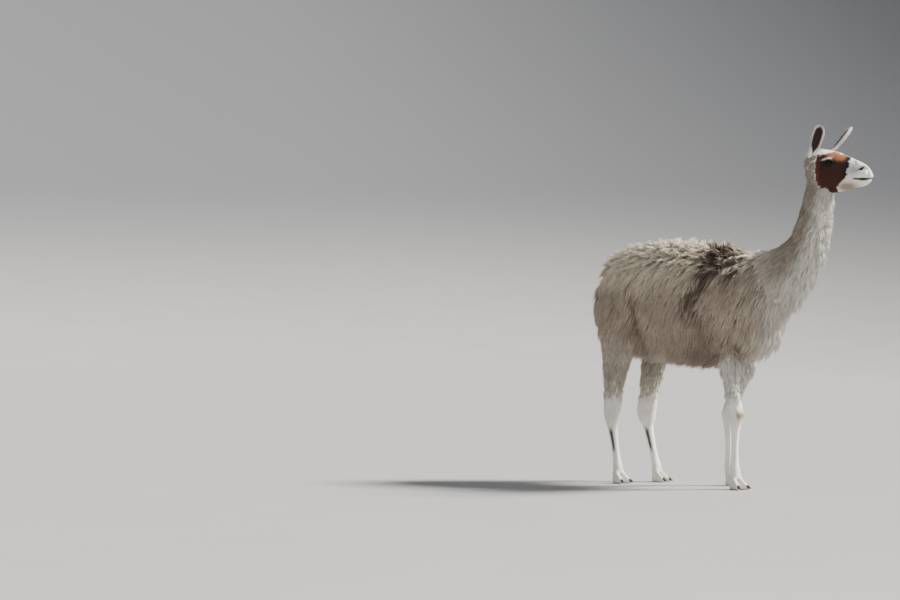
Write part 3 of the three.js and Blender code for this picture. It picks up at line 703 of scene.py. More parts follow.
# Lower legs and feet
# Thin straight legs with short hair, with a broad flat knee or a pointed hock, and tendons
# behind the cannon. Each foot is two padded toes side by side that rest flat on the floor. The
# leg and its toes are melted into one skin.

FETLOCK = 62 * MM
TOE_APART = 14 * MM
TOE_ROOT = 17 * MM
SPLAY = 0.2
FOOT_TURN = {False: 14, True: 8}  # degrees outwards, for a forefoot and a hind foot
# Place, reach from the fetlock, height, and the toe's size up, down and to each side.
TOE = np.array([
    [0, -3 * MM, 60 * MM, 20 * MM, 20 * MM, 12 * MM],
    [1, 3 * MM, 44 * MM, 21 * MM, 24 * MM, 13 * MM],
    [2, 14 * MM, 27 * MM, 22 * MM, 44 * MM, 14 * MM],
    [3, 30 * MM, 18 * MM, 18 * MM, 28 * MM, 14 * MM],
    [4, 46 * MM, 12 * MM, 11 * MM, 19 * MM, 11 * MM],
    [5, 56 * MM, 8 * MM, 6 * MM, 13 * MM, 6 * MM],
])
TOES = [
    {"name": "inner", "way": -1},
    {"name": "outer", "way": 1},
]
FOOT_VOXEL = 3.9 * MM
FOOT_SMOOTHING = 3
KNEE = 0.352
HOCK = 0.30


def lower_leg_hide(leg, rings=130, sides=56):
    """A leg from above its knee or hock down to the fetlock, with the bones and tendons that show
    under the skin: it starts inside the upper leg's hide and ends inside the toes."""
    z = np.linspace(0.49, FETLOCK - 14 * MM, rings)[:, None]
    x, y, depth, width = along_stations(leg["stations"], z)
    angle = ring_angles(sides)
    inset = 1.5 * MM + THIGH_COAT * smoothstep(z, SHORT_COAT_FROM, SHORT_COAT_TO)
    inset = inset + 12 * MM * smoothstep(z, 0.44, 0.49)
    half = depth - inset
    across, fore = rounded(angle, width - inset, half, half, LIMB_SQUARENESS)
    front = np.sin(angle)
    cannon = smoothstep(z, 0.09, 0.14) * (1 - smoothstep(z, 0.24, 0.30))
    groove = bell((front + 0.35) / 0.22) * cannon
    joint = HOCK if leg["hind"] else KNEE
    bone = bell((z - joint) / 0.022) * bell((np.abs(np.cos(angle)) - 0.8) / 0.3)
    point = bell((z - joint - 0.035) / 0.02) * np.maximum(-front, 0) ** 3
    push = 1 - 0.11 * groove + 0.06 * bone + (0.10 * point if leg["hind"] else 0)
    return stacked(x + fore * push, leg["side"] * y + across * push, z)


def foot_place(leg, toe):
    """The point on the floor under a toe's fetlock, the side it lies to, and the foot's turn."""
    x, y, _, _ = along_stations(leg["stations"], np.array([FETLOCK]))
    turn = leg["side"] * math.radians(FOOT_TURN[leg["hind"]])
    way = toe["way"] * leg["side"]
    middle = np.array([x[0], leg["side"] * y[0], 0])
    return middle, way, turn


def set_foot(points, middle, way, turn):
    """Points of a toe, from its reach, its side and its height, turned with the foot and set under
    the fetlock."""
    reach, side, height = np.moveaxis(points, -1, 0)
    side = side + way * TOE_APART
    c = math.cos(turn)
    s = math.sin(turn)
    return middle + stacked(reach * c - side * s, reach * s + side * c, height)


def toe_hide(leg, toe, rings=40, sides=40):
    """One toe, from the fetlock forwards and down, with a flat sole."""
    place = np.linspace(0, 5, rings)[:, None]
    reach, z, up, down, width = along_stations(TOE, place)
    ahead = along_stations(TOE, np.minimum(place + 0.2, 5))
    behind = along_stations(TOE, np.maximum(place - 0.2, 0))
    run = ahead[0] - behind[0]
    drop = ahead[1] - behind[1]
    size = np.hypot(run, drop)
    across, rise = rounded(ring_angles(sides), width, up, down, 2.2)
    middle, way, turn = foot_place(leg, toe)
    forwards = reach - rise * drop / size * 0.8
    sideways = way * SPLAY * (TOE_ROOT + reach) + across
    height = np.maximum(z + np.abs(run) / size * rise, 1.2 * MM)
    return set_foot(stacked(forwards, sideways, height), middle, way, turn)


hide_parts = [body_hide, tube(from_head(head_hide()))]
for ear in EARS:
    hide_parts.append(tube(from_head(ear_hide(ear))))
for leg in LEGS:
    foot_tubes = [lower_leg_hide(leg)] + [toe_hide(leg, toe) for toe in TOES]
    hide_parts.append(melted(leg["name"], foot_tubes, FOOT_VOXEL, FOOT_SMOOTHING))

# Hide and markings
# One skin of white and cream hair over the whole animal. A brown streak runs over the withers and
# down the flank, a red-brown patch with a black edge covers each cheek, the insides of the ears
# are dark, and a dark gland runs down each side of the hind cannons. Shade is painted in as well:
# on the flank, the back of the neck, the legs' backs and joints, the creases and hollows of body
# and face, the lower face and the ears.


def facing(points, faces):
    """Outward normals of a surface's points, summed from the faces round each."""
    normals = np.zeros_like(points)
    for face in faces:
        a, b, c = points[face[:, 0]], points[face[:, 1]], points[face[:, 2]]
        normal = np.cross(b - a, c - a)
        if face.shape[1] == 4:
            normal = normal + np.cross(c - a, points[face[:, 3]] - a)
        for corner in range(face.shape[1]):
            np.add.at(normals, face[:, corner], normal)
    return normals / np.maximum(np.linalg.norm(normals, axis=1, keepdims=True), 1e-12)


def outwards(part):
    """A closed part with its faces turned outwards, by the volume that they shut in."""
    points, faces = part
    volume = 0.0
    for face in faces:
        for second in range(1, face.shape[1] - 1):
            a, b, c = points[face[:, 0]], points[face[:, second]], points[face[:, second + 1]]
            volume += np.einsum("ij,ij->i", a, np.cross(b, c)).sum()
    return (points, faces) if volume > 0 else (points, [face[:, ::-1] for face in faces])


CREAM = np.array([0.93, 0.85, 0.71])
# Painted shade: the flank's colour is partly the wool's own dirty beige and partly darker as shade.
SHADED_FLANK = np.array([0.60, 0.51, 0.41])
NECK_WHITE = np.array([0.93, 0.90, 0.84])
NECK_SHADE = np.array([0.50, 0.44, 0.365])
LEG_WHITE = np.array([0.90, 0.87, 0.81])
STREAK_BROWN = np.array([0.095, 0.042, 0.023])
# Brown of the belly's stains, the flank's streaks and the knees' calluses, also used for painted shade.
BROWN_STAIN_AND_SHADE = np.array([0.27, 0.175, 0.11])
NAPE_BROWN = np.array([0.26, 0.19, 0.14])
FOX_RED = np.array([0.32, 0.115, 0.050])
SHADED_DARK_RED = np.array([0.036, 0.010, 0.006])
RUST = np.array([0.10, 0.030, 0.013])
NEAR_BLACK = np.array([0.012, 0.010, 0.009])
MUZZLE_SHADE = np.array([0.40, 0.385, 0.385])
JAW_TAN_AND_SHADE = np.array([0.29, 0.225, 0.16])
# Height, place along, half width and strength of the brown streak on each side.
STREAK = np.array([
    [0.58, 0.195, 0.085, 0.12],
    [0.70, 0.192, 0.075, 0.30],
    [0.80, 0.178, 0.060, 0.50],
    [0.88, 0.128, 0.044, 0.90],
    [0.93, 0.162, 0.052, 1.00],
    [0.975, 0.200, 0.056, 1.00],
    [1.03, 0.214, 0.068, 1.00],
    [1.09, 0.212, 0.082, 1.00],
    [1.16, 0.200, 0.090, 1.00],
])


def towards_head(x, z):
    """Distance forwards and up along the slope that runs from the trunk to the head."""
    return 0.8 * x + 0.6 * z


def blended(first, second, share):
    """Colours a share of the way from the first to the second."""
    return first + (second - first) * np.asarray(share)[..., None]


def body_colour(points, normals):
    """Colour of the fleece: cream above, darker down the flank and belly, with the brown streak,
    whose place, width and strength change with height, and a white throat and breast. The
    flank's darker tone is partly the wool's own and partly painted shade, and painted shade
    also lies in the crease before the thigh, on the shoulder and on the back of the neck,
    whose front is painted lit white."""
    x, _, z = points.T
    # Darker down the flank: partly the wool's own tone and partly painted shade under the lit back.
    colour = blended(SHADED_FLANK, CREAM, smoothstep(z, 0.90, 1.06))
    mottled = np.sin(x * 31 + 2.2 * np.sin(z * 13 + 1)) * np.sin(z * 19 + 1.7 * np.sin(x * 17))
    colour = blended(colour, CREAM, 0.40 * smoothstep(mottled, 0.1, 0.9))
    low = bell((z - 0.65) / 0.07) * smoothstep(x, -0.03, 0.08) * (1 - smoothstep(x, 0.19, 0.27))
    colour = blended(colour, BROWN_STAIN_AND_SHADE, 0.60 * low)
    # Painted shade in the crease between flank and thigh.
    colour = blended(colour, BROWN_STAIN_AND_SHADE, 0.85 * flank_fold(x, z - 0.04))
    streaky = np.sin(x * 140 + 2 * np.sin(z * 11)) + np.sin(x * 61 - z * 9 + 2)
    streaky = streaky + np.sin(x * 233 + z * 14)
    streaky = smoothstep(streaky, 0.2, 2.4) * (1 - smoothstep(z, 0.95, 1.05))
    colour = blended(colour, BROWN_STAIN_AND_SHADE, 0.26 * streaky)
    place, width, strength = along_stations(STREAK, np.clip(z, 0.58, 1.16))
    away = (x - place) / np.maximum(width, 0.01)
    streak = strength * (1 - smoothstep(np.abs(away), 0.50, 1.20))
    lobe = bell((x - 0.298) / 0.030, (z - 0.995) / 0.055)
    torn = 0.86 + 0.14 * np.sin(x * 190 + 3 * np.sin(z * 23))
    colour = blended(colour, STREAK_BROWN, np.maximum(streak, lobe) * torn)
    # Painted shade on the shoulder under the back's fleece.
    shoulder = bell((x - 0.36) / 0.09, (z - 0.98) / 0.06)
    colour = blended(colour, BROWN_STAIN_AND_SHADE, 0.30 * shoulder)
    neck = smoothstep(towards_head(x, z), 0.86, 1.10)
    # Painted light: the neck is white where it faces forwards and painted shade where it faces back.
    fore = smoothstep(normals[:, 0] - 0.3 * normals[:, 2], 0.0, 0.6)
    colour = blended(colour, blended(NECK_SHADE, NECK_WHITE, fore), neck)
    nape = neck * smoothstep(-normals[:, 0], 0.2, 0.75) * smoothstep(z, 1.06, 1.16)
    colour = blended(colour, NAPE_BROWN, 0.72 * nape * (1 - smoothstep(z, 1.30, 1.38)))
    breast = smoothstep(x + 0.6 * np.maximum(0.80 - z, 0), 0.41, 0.50) * (1 - neck)
    colour = blended(colour, NECK_WHITE, 0.9 * breast)
    thigh = (1 - smoothstep(x, -0.2, -0.1)) * (1 - smoothstep(z, 0.50, 0.78))
    return blended(colour, LEG_WHITE, 0.55 * thigh)


def wool_colour(points, normals):
    """Colour of the wool on the legs: white in front, greyer with painted shade on the thighs and
    behind.
    """
    x, _, z = points.T
    hind = (x < 0) * smoothstep(z, 0.34, 0.56)
    # Painted shade on the hind thighs and on sides that face backwards.
    grey = np.maximum(0.75 * hind, 0.40 * smoothstep(-normals[:, 0], 0.2, 0.9))
    return blended(LEG_WHITE, SHADED_FLANK, grey)


def in_head(points):
    """Points of the llama's frame in the head's: behind, to the left of and above the nose."""
    offset = points - NOSE
    c = math.cos(HEAD_TURN)
    s = math.sin(HEAD_TURN)
    behind = -offset[:, 0] * c - offset[:, 1] * s
    left = -offset[:, 0] * s + offset[:, 1] * c
    return np.stack([behind, left, offset[:, 2]], axis=-1)


def head_colour(points):
    """Colour of the face: white, with a red-brown patch from behind the eye to a slanting black
    edge, redder above the eye, a tan jaw and a grey-shaded muzzle. Painted shade lies on the
    muzzle's side, under the jaw, on the patch's lower part, round the eye, in the fold over the
    nostril, in the crease to the mouth, in the nostril's slit and along the parting of the lips.
    Borders are given in mm."""
    behind, left, up = in_head(points).T / MM
    # Painted shade on the muzzle's side.
    grey = bell((behind - 82) / 27, (up - 26) / 27)
    colour = blended(NECK_WHITE, MUZZLE_SHADE, 0.90 * grey)
    # The jaw's own tan, darkened with painted shade under the head.
    tan = bell((behind - 112) / 52, (up + 45) / 24)
    colour = blended(colour, JAW_TAN_AND_SHADE, np.minimum(1.2 * tan, 1))
    ragged = 2.5 * np.sin(up / 6 + behind / 11) + 1.8 * np.sin(up / 2.6 + 1) + 1.5 * np.sin(behind / 3.4)
    front = 104 + 9 * (1 - smoothstep(up, 0, 60)) + 46 * (1 - smoothstep(up, -58, 4)) + ragged
    top = 96 + 18 * bell((behind - 180) / 38) - 8 * (1 - smoothstep(behind, 100, 135)) + ragged
    patch = smoothstep(behind, front - 3, front + 3)
    patch = patch * (1 - smoothstep(behind, 240 + ragged, 250 + ragged))
    patch = patch * (1 - smoothstep(up, top - 4, top + 4))
    fox = smoothstep(up, 60, 84) * smoothstep(behind, 112, 128) * (1 - smoothstep(behind, 188, 214))
    # The patch's dark red-brown is darkened with painted shade of the lower face.
    colour = blended(colour, blended(SHADED_DARK_RED, FOX_RED, fox), patch)
    edge = bell((behind - front - 4) / 7) * smoothstep(up, -6, 8) * (1 - smoothstep(up, 80, 92))
    cheek = bell((behind - 124) / 12, (up - 14) / 13)
    colour = blended(colour, NEAR_BLACK, np.minimum(1.2 * edge + 0.9 * cheek, 1))
    rear = bell((behind - 238 - ragged) / 12) * patch * (1 - fox)
    colour = blended(colour, RUST, 0.7 * rear)
    # Dark skin round the eye, deepened with painted shade of the socket.
    socket = np.hypot((behind - 188) / 32, (up - 63) / 20)
    colour = blended(colour, NEAR_BLACK, 0.95 * (1 - smoothstep(socket, 0.72, 1.25)))
    # Painted shadow of the fold over the nostril's root.
    fold = ((behind - 76) * 0.67 + (up - 66) * 0.74) / 14
    beside_fold = ((up - 66) * 0.67 - (behind - 76) * 0.74) / 3.5
    colour = blended(colour, NEAR_BLACK, 0.75 * bell(fold, beside_fold))
    lid = np.exp(-((behind - 195) / 23) ** 4 - ((up - 82 + 0.26 * (behind - 195)) / 4.2) ** 2)
    colour = blended(colour, NECK_WHITE, 0.92 * lid)
    # Painted shade in the nostril's slit.
    slit = ((behind - 35) * 0.966 - (up - 36) * 0.259) / 22
    drop = ((up - 36) * 0.966 + (behind - 35) * 0.259) / 6.8
    nostril = np.minimum(2.2 * bell(slit, drop), 1)
    # Painted shade in the crease from the nostril to the mouth.
    crease = bell((behind - 13 + 0.2 * (up - 12)) / 2.5, (up - 10) / 14)
    colour = blended(colour, MUZZLE_SHADE, 0.9 * crease * (np.abs(left) > 5))
    # Painted shade along the parting of the lips.
    mouth = mouth_line(behind * MM) / MM
    parted = 3.4 + 2.4 * bell((behind - 38) / 16)
    lips = np.minimum(1.5 * bell((up - mouth) / parted), 1) * (1 - smoothstep(behind, 76, 88))
    return blended(colour, NEAR_BLACK, np.minimum(nostril * (np.abs(left) > 8) + lips, 1))


def leg_colour(points, leg):
    """Colour of a lower leg: white, with dirt at the foot, painted shade round the knee or hock,
    worn brown spots on the knees and, on a hind leg, painted shade greying its top and the dark
    bare gland down each side of the cannon."""
    z = points[:, 2]
    colour = np.broadcast_to(LEG_WHITE, points.shape)
    # Dirt near the foot, and painted shade round the knee or hock.
    dirt_and_joint_shade = 0.30 * (1 - smoothstep(z, 0.03, 0.12)) + 0.18 * bell((z - 0.32) / 0.05)
    colour = blended(colour, BROWN_STAIN_AND_SHADE, dirt_and_joint_shade)
    x, y, _, _ = along_stations(leg["stations"], np.clip(z, 0.058, 0.7))
    ahead = points[:, 0] - x
    beside = (points[:, 1] - leg["side"] * y) * leg["side"]
    if leg["hind"]:
        # Painted shade greying a hind leg's top.
        colour = blended(colour, SHADED_FLANK, 0.6 * smoothstep(z, 0.33, 0.45))
        aside = np.degrees(np.arctan2(np.abs(beside), ahead))
        gland = smoothstep(z, 0.13, 0.17) * (1 - smoothstep(z, 0.235, 0.275))
        gland = gland * (1 - smoothstep(np.abs(aside - 84), 16, 34))
        return blended(colour, NEAR_BLACK, 0.92 * gland)
    worn = bell((z - 0.335) / 0.02) * smoothstep(ahead, 0.012, 0.026)
    return blended(colour, BROWN_STAIN_AND_SHADE, 0.95 * worn)


# Dark of the ear's cup, partly its bare skin and partly painted shade; grey of its back, painted shade.
EAR_CUP_DARK_AND_SHADE = np.array([0.030, 0.014, 0.012])
SHADED_EAR_GREY = np.array([0.42, 0.40, 0.38])


def on_ear(ear, points):
    """Where points of the llama's frame lie on an ear: the place from root to tip, the distance
    off the middle line in half widths, the depth out of the cup, and the half width there."""
    root, rise, across, out = ear_frame(ear)
    local = in_head(points) - root
    place = np.clip(local @ rise / (rise @ rise), 0, 1)
    off = local - ear_line(ear, place)
    half = along_stations(EAR_HALF_WIDTH, place)[0]
    return place, np.abs(off @ across) / half, off @ out, half


def ear_colour(points, ear):
    """Colour of an ear: nearly black in the cup, its dark skin deepened with painted shade, with a
    white rim, and white fur behind that painted shade turns grey.
    """
    place, share, depth, half = on_ear(ear, points)
    rim = smoothstep(share, 0.66, 0.82)
    lining = smoothstep(depth, -0.68 * half + 1.0 * MM, -0.68 * half + 2.5 * MM)
    bare = 0.68 * smoothstep(place, -0.05, 0.40) * (1 - smoothstep(place, 0.84, 0.98))
    cup = lining * (1 - smoothstep(share, bare - 0.10, bare + 0.06))
    colour = blended(SHADED_EAR_GREY, NECK_WHITE, np.maximum(rim, 1 - smoothstep(place, 0.1, 0.3)))
    return blended(colour, EAR_CUP_DARK_AND_SHADE, cup)


hide_parts = [outwards(part) for part in hide_parts]
ZONES = ["body", "head", "ear_right", "ear_left"] + [leg["name"] for leg in LEGS]
hide_zone = np.repeat(np.arange(len(hide_parts)), [len(part[0]) for part in hide_parts])


def zone_colour(zone, points, normals):
    """Colour of the coat at points of one zone of the hide."""
    if zone == "body":
        return body_colour(points, normals)
    if zone == "wool":
        return wool_colour(points, normals)
    if zone == "head":
        return head_colour(points)
    for ear in EARS:
        if ear["name"] == zone:
            return ear_colour(points, ear)
    return leg_colour(points, next(leg for leg in LEGS if leg["name"] == zone))


class Link:
    """A socket of a material's tree. Sums, differences, products and powers of links and numbers
    add Math nodes, and where a side is a colour or a vector, Vector Math nodes."""

    def __init__(self, tree, socket):
        self.tree = tree
        self.socket = socket

    def join(self, operation, first, second):
        """A Math or Vector Math node of two values."""
        sides = (first, second)
        flat = all(not isinstance(side, Link) or side.socket.type == "VALUE" for side in sides)
        kind = "ShaderNodeMath" if flat else "ShaderNodeVectorMath"
        if not flat:
            first, second = [side if isinstance(side, Link) else (side, side, side) for side in sides]
        return add_node(self.tree, kind, {"operation": operation}, {0: first, 1: second})

    def __add__(self, other):
        return self.join("ADD", self, other)

    def __radd__(self, other):
        return self.join("ADD", other, self)

    def __sub__(self, other):
        return self.join("SUBTRACT", self, other)

    def __rsub__(self, other):
        return self.join("SUBTRACT", other, self)

    def __mul__(self, other):
        return self.join("MULTIPLY", self, other)

    def __rmul__(self, other):
        return self.join("MULTIPLY", other, self)

    def __pow__(self, other):
        return self.join("POWER", self, other)


def add_node(tree, kind, settings, values, output=0):
    """A node of a type with its settings set first, then the values or links of its sockets."""
    node = tree.nodes.new(kind)
    for name, setting in settings.items():
        setattr(node, name, setting)
    for name, value in values.items():
        if isinstance(value, Link):
            tree.links.new(value.socket, node.inputs[name])
        else:
            node.inputs[name].default_value = value
    return Link(tree, node.outputs[output])


def new_material(name):
    """A material and its shader, with the tree that both stand in."""
    material = bpy.data.materials.new(name)
    material.use_nodes = True
    tree = material.node_tree
    return material, tree, tree.nodes["Principled BSDF"]


def object_places(tree):
    """Places on a piece, in metres."""
    return add_node(tree, "ShaderNodeTexCoord", {}, {}, "Object")


def attribute(tree, name, colour=False):
    """A value or colour kept at a piece's points."""
    output = "Color" if colour else "Fac"
    return add_node(tree, "ShaderNodeAttribute", {"attribute_name": name}, {}, output)


def noise(tree, places, scale, detail=2.0, roughness=0.5):
    """A noise from 0 to 1 over places."""
    values = {"Vector": places, "Scale": scale, "Detail": detail, "Roughness": roughness}
    return add_node(tree, "ShaderNodeTexNoise", {}, values, "Fac")


def mixed(tree, factor, first, second):
    """A colour a factor of the way from the first to the second."""
    values = {0: factor, 6: first, 7: second}
    return add_node(tree, "ShaderNodeMix", {"data_type": "RGBA"}, values, 2)


def stretched(tree, places, size):
    """Places stretched by a size along each axis."""
    return add_node(tree, "ShaderNodeVectorMath", {"operation": "MULTIPLY"}, {0: places, 1: size})


def bumped(tree, height, strength, distance):
    """Normals tilted by a height."""
    values = {"Strength": strength, "Distance": distance, "Height": height}
    return add_node(tree, "ShaderNodeBump", {}, values, "Normal")


def hide_material():
    """Short hair on skin: the coat's own colour with fine streaks that follow the hair's fall."""
    material, tree, shader = new_material("short_hair")
    places = object_places(tree)
    coat = attribute(tree, "coat_colour", colour=True)
    fall = noise(tree, stretched(tree, places, (1, 1, 0.22)), 620, 3)
    patches = noise(tree, places, 34, 3)
    shade = 0.72 + 0.34 * fall + 0.22 * patches
    tree.links.new((coat * shade).socket, shader.inputs["Base Color"])
    shader.inputs["Roughness"].default_value = 0.72
    shader.inputs["Specular IOR Level"].default_value = 0.25
    tree.links.new(bumped(tree, fall, 0.5, 0.0012).socket, shader.inputs["Normal"])
    return material


def set_colour(mesh, name, colour):
    """Keeps a colour at each point of a mesh."""
    layer = mesh.attributes.new(name, "FLOAT_COLOR", "POINT")
    opaque = np.hstack([colour, np.ones((len(colour), 1))])
    layer.data.foreach_set("color", opaque.astype(np.float32).ravel())


def set_value(mesh, name, values):
    """Keeps a value at each point of a mesh."""
    layer = mesh.attributes.new(name, "FLOAT", "POINT")
    layer.data.foreach_set("value", np.asarray(values, np.float32).ravel())


WOOL_BELOW = 0.58
hide_points, hide_faces = joined(hide_parts)
hide_normals = facing(hide_points, hide_faces)
hide = new_piece("hide", new_mesh("hide", hide_points, hide_faces))
hide_colour = np.zeros_like(hide_points)
for index, zone in enumerate(ZONES):
    here = hide_zone == index
    hide_colour[here] = zone_colour(zone, hide_points[here], hide_normals[here])
below = (hide_zone == 0) & (hide_points[:, 2] < WOOL_BELOW)
hide_colour[below] = wool_colour(hide_points[below], hide_normals[below])
set_colour(hide.data, "coat_colour", hide_colour)
hide.data.materials.append(hide_material())
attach(hide, "root")
HIDE_NODES = ["torso", "neck_lower", "neck_upper", "tail", "head", "ear_right", "ear_left"]
for leg in LEGS:
    HIDE_NODES += [leg["name"] + "_upper", leg["name"] + "_lower"]
    HIDE_NODES += [leg["name"] + "_toe_" + toe["name"] for toe in TOES]
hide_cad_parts(*HIDE_NODES)

# Fleece
# The coat is long wool that hangs in pointed locks over the trunk, neck and thighs and in a tassel
# on the tail. Each lock is a sheaf of tapered strands, which rise from the hide together, bend
# over under their weight and run to one tip.

hide_triangles = []
for face in hide_faces:
    hide_triangles.append(face[:, :3])
    if face.shape[1] == 4:
        hide_triangles.append(face[:, [0, 2, 3]])
hide_triangles = np.vstack(hide_triangles)
triangle_zone = hide_zone[hide_triangles[:, 0]]
triangle_middle = hide_points[hide_triangles].mean(axis=1)
triangle_normal = hide_normals[hide_triangles].mean(axis=1)
triangle_edges = hide_points[hide_triangles[:, 1:]] - hide_points[hide_triangles[:, :1]]
triangle_area = np.linalg.norm(np.cross(triangle_edges[:, 0], triangle_edges[:, 1]), axis=1) / 2


def scattered(rng, weight, count):
    """Roots scattered over the hide, evenly by area times a weight for each triangle: steps of
    equal size along the summed areas, each moved at random by up to a step."""
    total = np.cumsum(triangle_area * weight)
    steps = (np.arange(count) + rng.random(count)) / count * total[-1]
    picked = np.minimum(np.searchsorted(total, steps), len(total) - 1)
    a, b = rng.random((2, count))
    fold = a + b > 1
    a = np.where(fold, 1 - a, a)[:, None]
    b = np.where(fold, 1 - b, b)[:, None]
    corners = hide_points[hide_triangles[picked]]
    roots = corners[:, 0] * (1 - a - b) + corners[:, 1] * a + corners[:, 2] * b
    corners = hide_normals[hide_triangles[picked]]
    normals = corners[:, 0] * (1 - a - b) + corners[:, 1] * a + corners[:, 2] * b
    return roots, unit(normals)


def unit(vectors):
    """Vectors of length 1."""
    return vectors / np.maximum(np.linalg.norm(vectors, axis=-1, keepdims=True), 1e-9)


def laid(vectors, normals):
    """Directions pressed flat onto a surface with the given normals."""
    return unit(vectors - normals * (vectors * normals).sum(axis=1, keepdims=True))


MEAN_BEND = 0.385  # mean of (1 - share) ** 1.6 over a hair's length


def combed(roots, normals, lies, growth, rng):
    """Middle lines of hairs, one point at each step from root to tip. The angle off the hide starts
    at the growth's rise and falls to an end angle, fast at first, so that the mean angle lifts the
    tip by the depth less what the hide's own curve gives, length squared over twice its radius."""
    length = growth["length"]
    along = np.array(growth["along"])
    rise = growth["rise"]
    gained = length ** 2 / (2 * growth["radius"])
    lift = np.clip((growth["depth"] - gained) / length, -0.5, 0.85)
    mean = np.arcsin(lift) + growth["unruly"] * rng.normal(size=len(roots))
    last = (mean - MEAN_BEND * rise) / (1 - MEAN_BEND)
    share = (along[1:] + along[:-1]) / 2
    angle = last[:, None] + (rise - last)[:, None] * (1 - share) ** 1.6
    step = (length[:, None] * np.diff(along))[..., None]
    lying = np.cos(angle)[..., None] * lies[:, None]
    moves = step * (lying + np.sin(angle)[..., None] * normals[:, None])
    path = np.concatenate([np.zeros((len(roots), 1, 3)), np.cumsum(moves, axis=1)], axis=1)
    across = np.cross(lies, normals)
    wave = along * length[:, None] / growth["wave"] * 2 * math.pi + growth["phase"][:, None]
    curl = np.reshape(growth["curl"], (-1, 1)) * np.sin(wave)
    return path + (curl * along)[..., None] * across[:, None], along


def strands(paths, along, normals, width, rng):
    """Points and faces of tapered strands, flatter than wide: at each step but the last three
    corners round the middle line, the last step a point, and a small face that shuts the root."""
    count, steps = paths.shape[0], paths.shape[1] - 1
    direction = unit(np.gradient(paths, axis=1))[:, :-1]
    side = unit(np.cross(direction, normals[:, None]))
    over = np.cross(side, direction)
    turn = np.array([math.pi / 2, math.pi * 7 / 6, math.pi * 11 / 6])
    turn = rng.uniform(-0.5, 0.5, (count, 1, 1)) + turn
    taper = (1 - along[:-1] ** 1.7)[None, :, None] * np.ones((count, 1, 1))
    taper = taper * (0.75 + 0.5 * np.minimum(along[:-1] * 4, 1))[None, :, None]
    off_side = (np.cos(turn) * taper * width[:, None, None] / 2)[..., None] * side[:, :, None]
    thickness = width * 0.6
    off_over = (np.sin(turn) * taper * thickness[:, None, None] / 2)[..., None] * over[:, :, None]
    rings = paths[:, :-1, None] + off_side + off_over
    points = np.concatenate([rings.reshape(count, -1, 3), paths[:, -1:]], axis=1)
    ring = np.arange(steps - 1)[:, None] * 3
    corner = np.arange(3)[None, :]
    beside = (corner + 1) % 3
    quads = stacked(ring + corner, ring + beside, ring + 3 + beside, ring + 3 + corner)
    quads = quads.reshape(-1, 4)
    last = (steps - 1) * 3
    tip = steps * 3
    ends = np.array([[last, last + 1, tip], [last + 1, last + 2, tip], [last + 2, last, tip], [0, 2, 1]])
    starts = (np.arange(count) * (steps * 3 + 1))[:, None, None]
    return points.reshape(-1, 3), [(quads + starts).reshape(-1, 4), (ends + starts).reshape(-1, 3)]


def fleece_material():
    """Wool: the coat's own colour, darker and browner at the root, partly as dirt and partly as
    painted shade deep in the fleece, with a tint of its own for each strand and fine streaks along it."""
    material, tree, shader = new_material("fleece")
    places = object_places(tree)
    coat = attribute(tree, "coat_colour", colour=True)
    tint = attribute(tree, "tint")
    along = attribute(tree, "along")
    streaks = noise(tree, stretched(tree, places, (1, 1, 0.15)), 900, 2)
    dirt = noise(tree, places, 9, 3)
    # Darker towards the root: partly dirt and partly painted shade deep in the fleece.
    shade = (0.50 + 0.50 * along ** 0.6) * (0.72 + 0.46 * tint) * (0.90 + 0.20 * streaks)
    worn = mixed(tree, 0.30 * dirt, coat * shade, coat * shade * coat)
    tree.links.new(worn.socket, shader.inputs["Base Color"])
    shader.inputs["Roughness"].default_value = 0.68
    shader.inputs["Specular IOR Level"].default_value = 0.22
    shader.inputs["Sheen Weight"].default_value = 0.12
    shader.inputs["Sheen Roughness"].default_value = 0.5
    return material


fleece = fleece_material()
TUFT_PATCH = 0.003  # side of a strand's patch in the map for baking


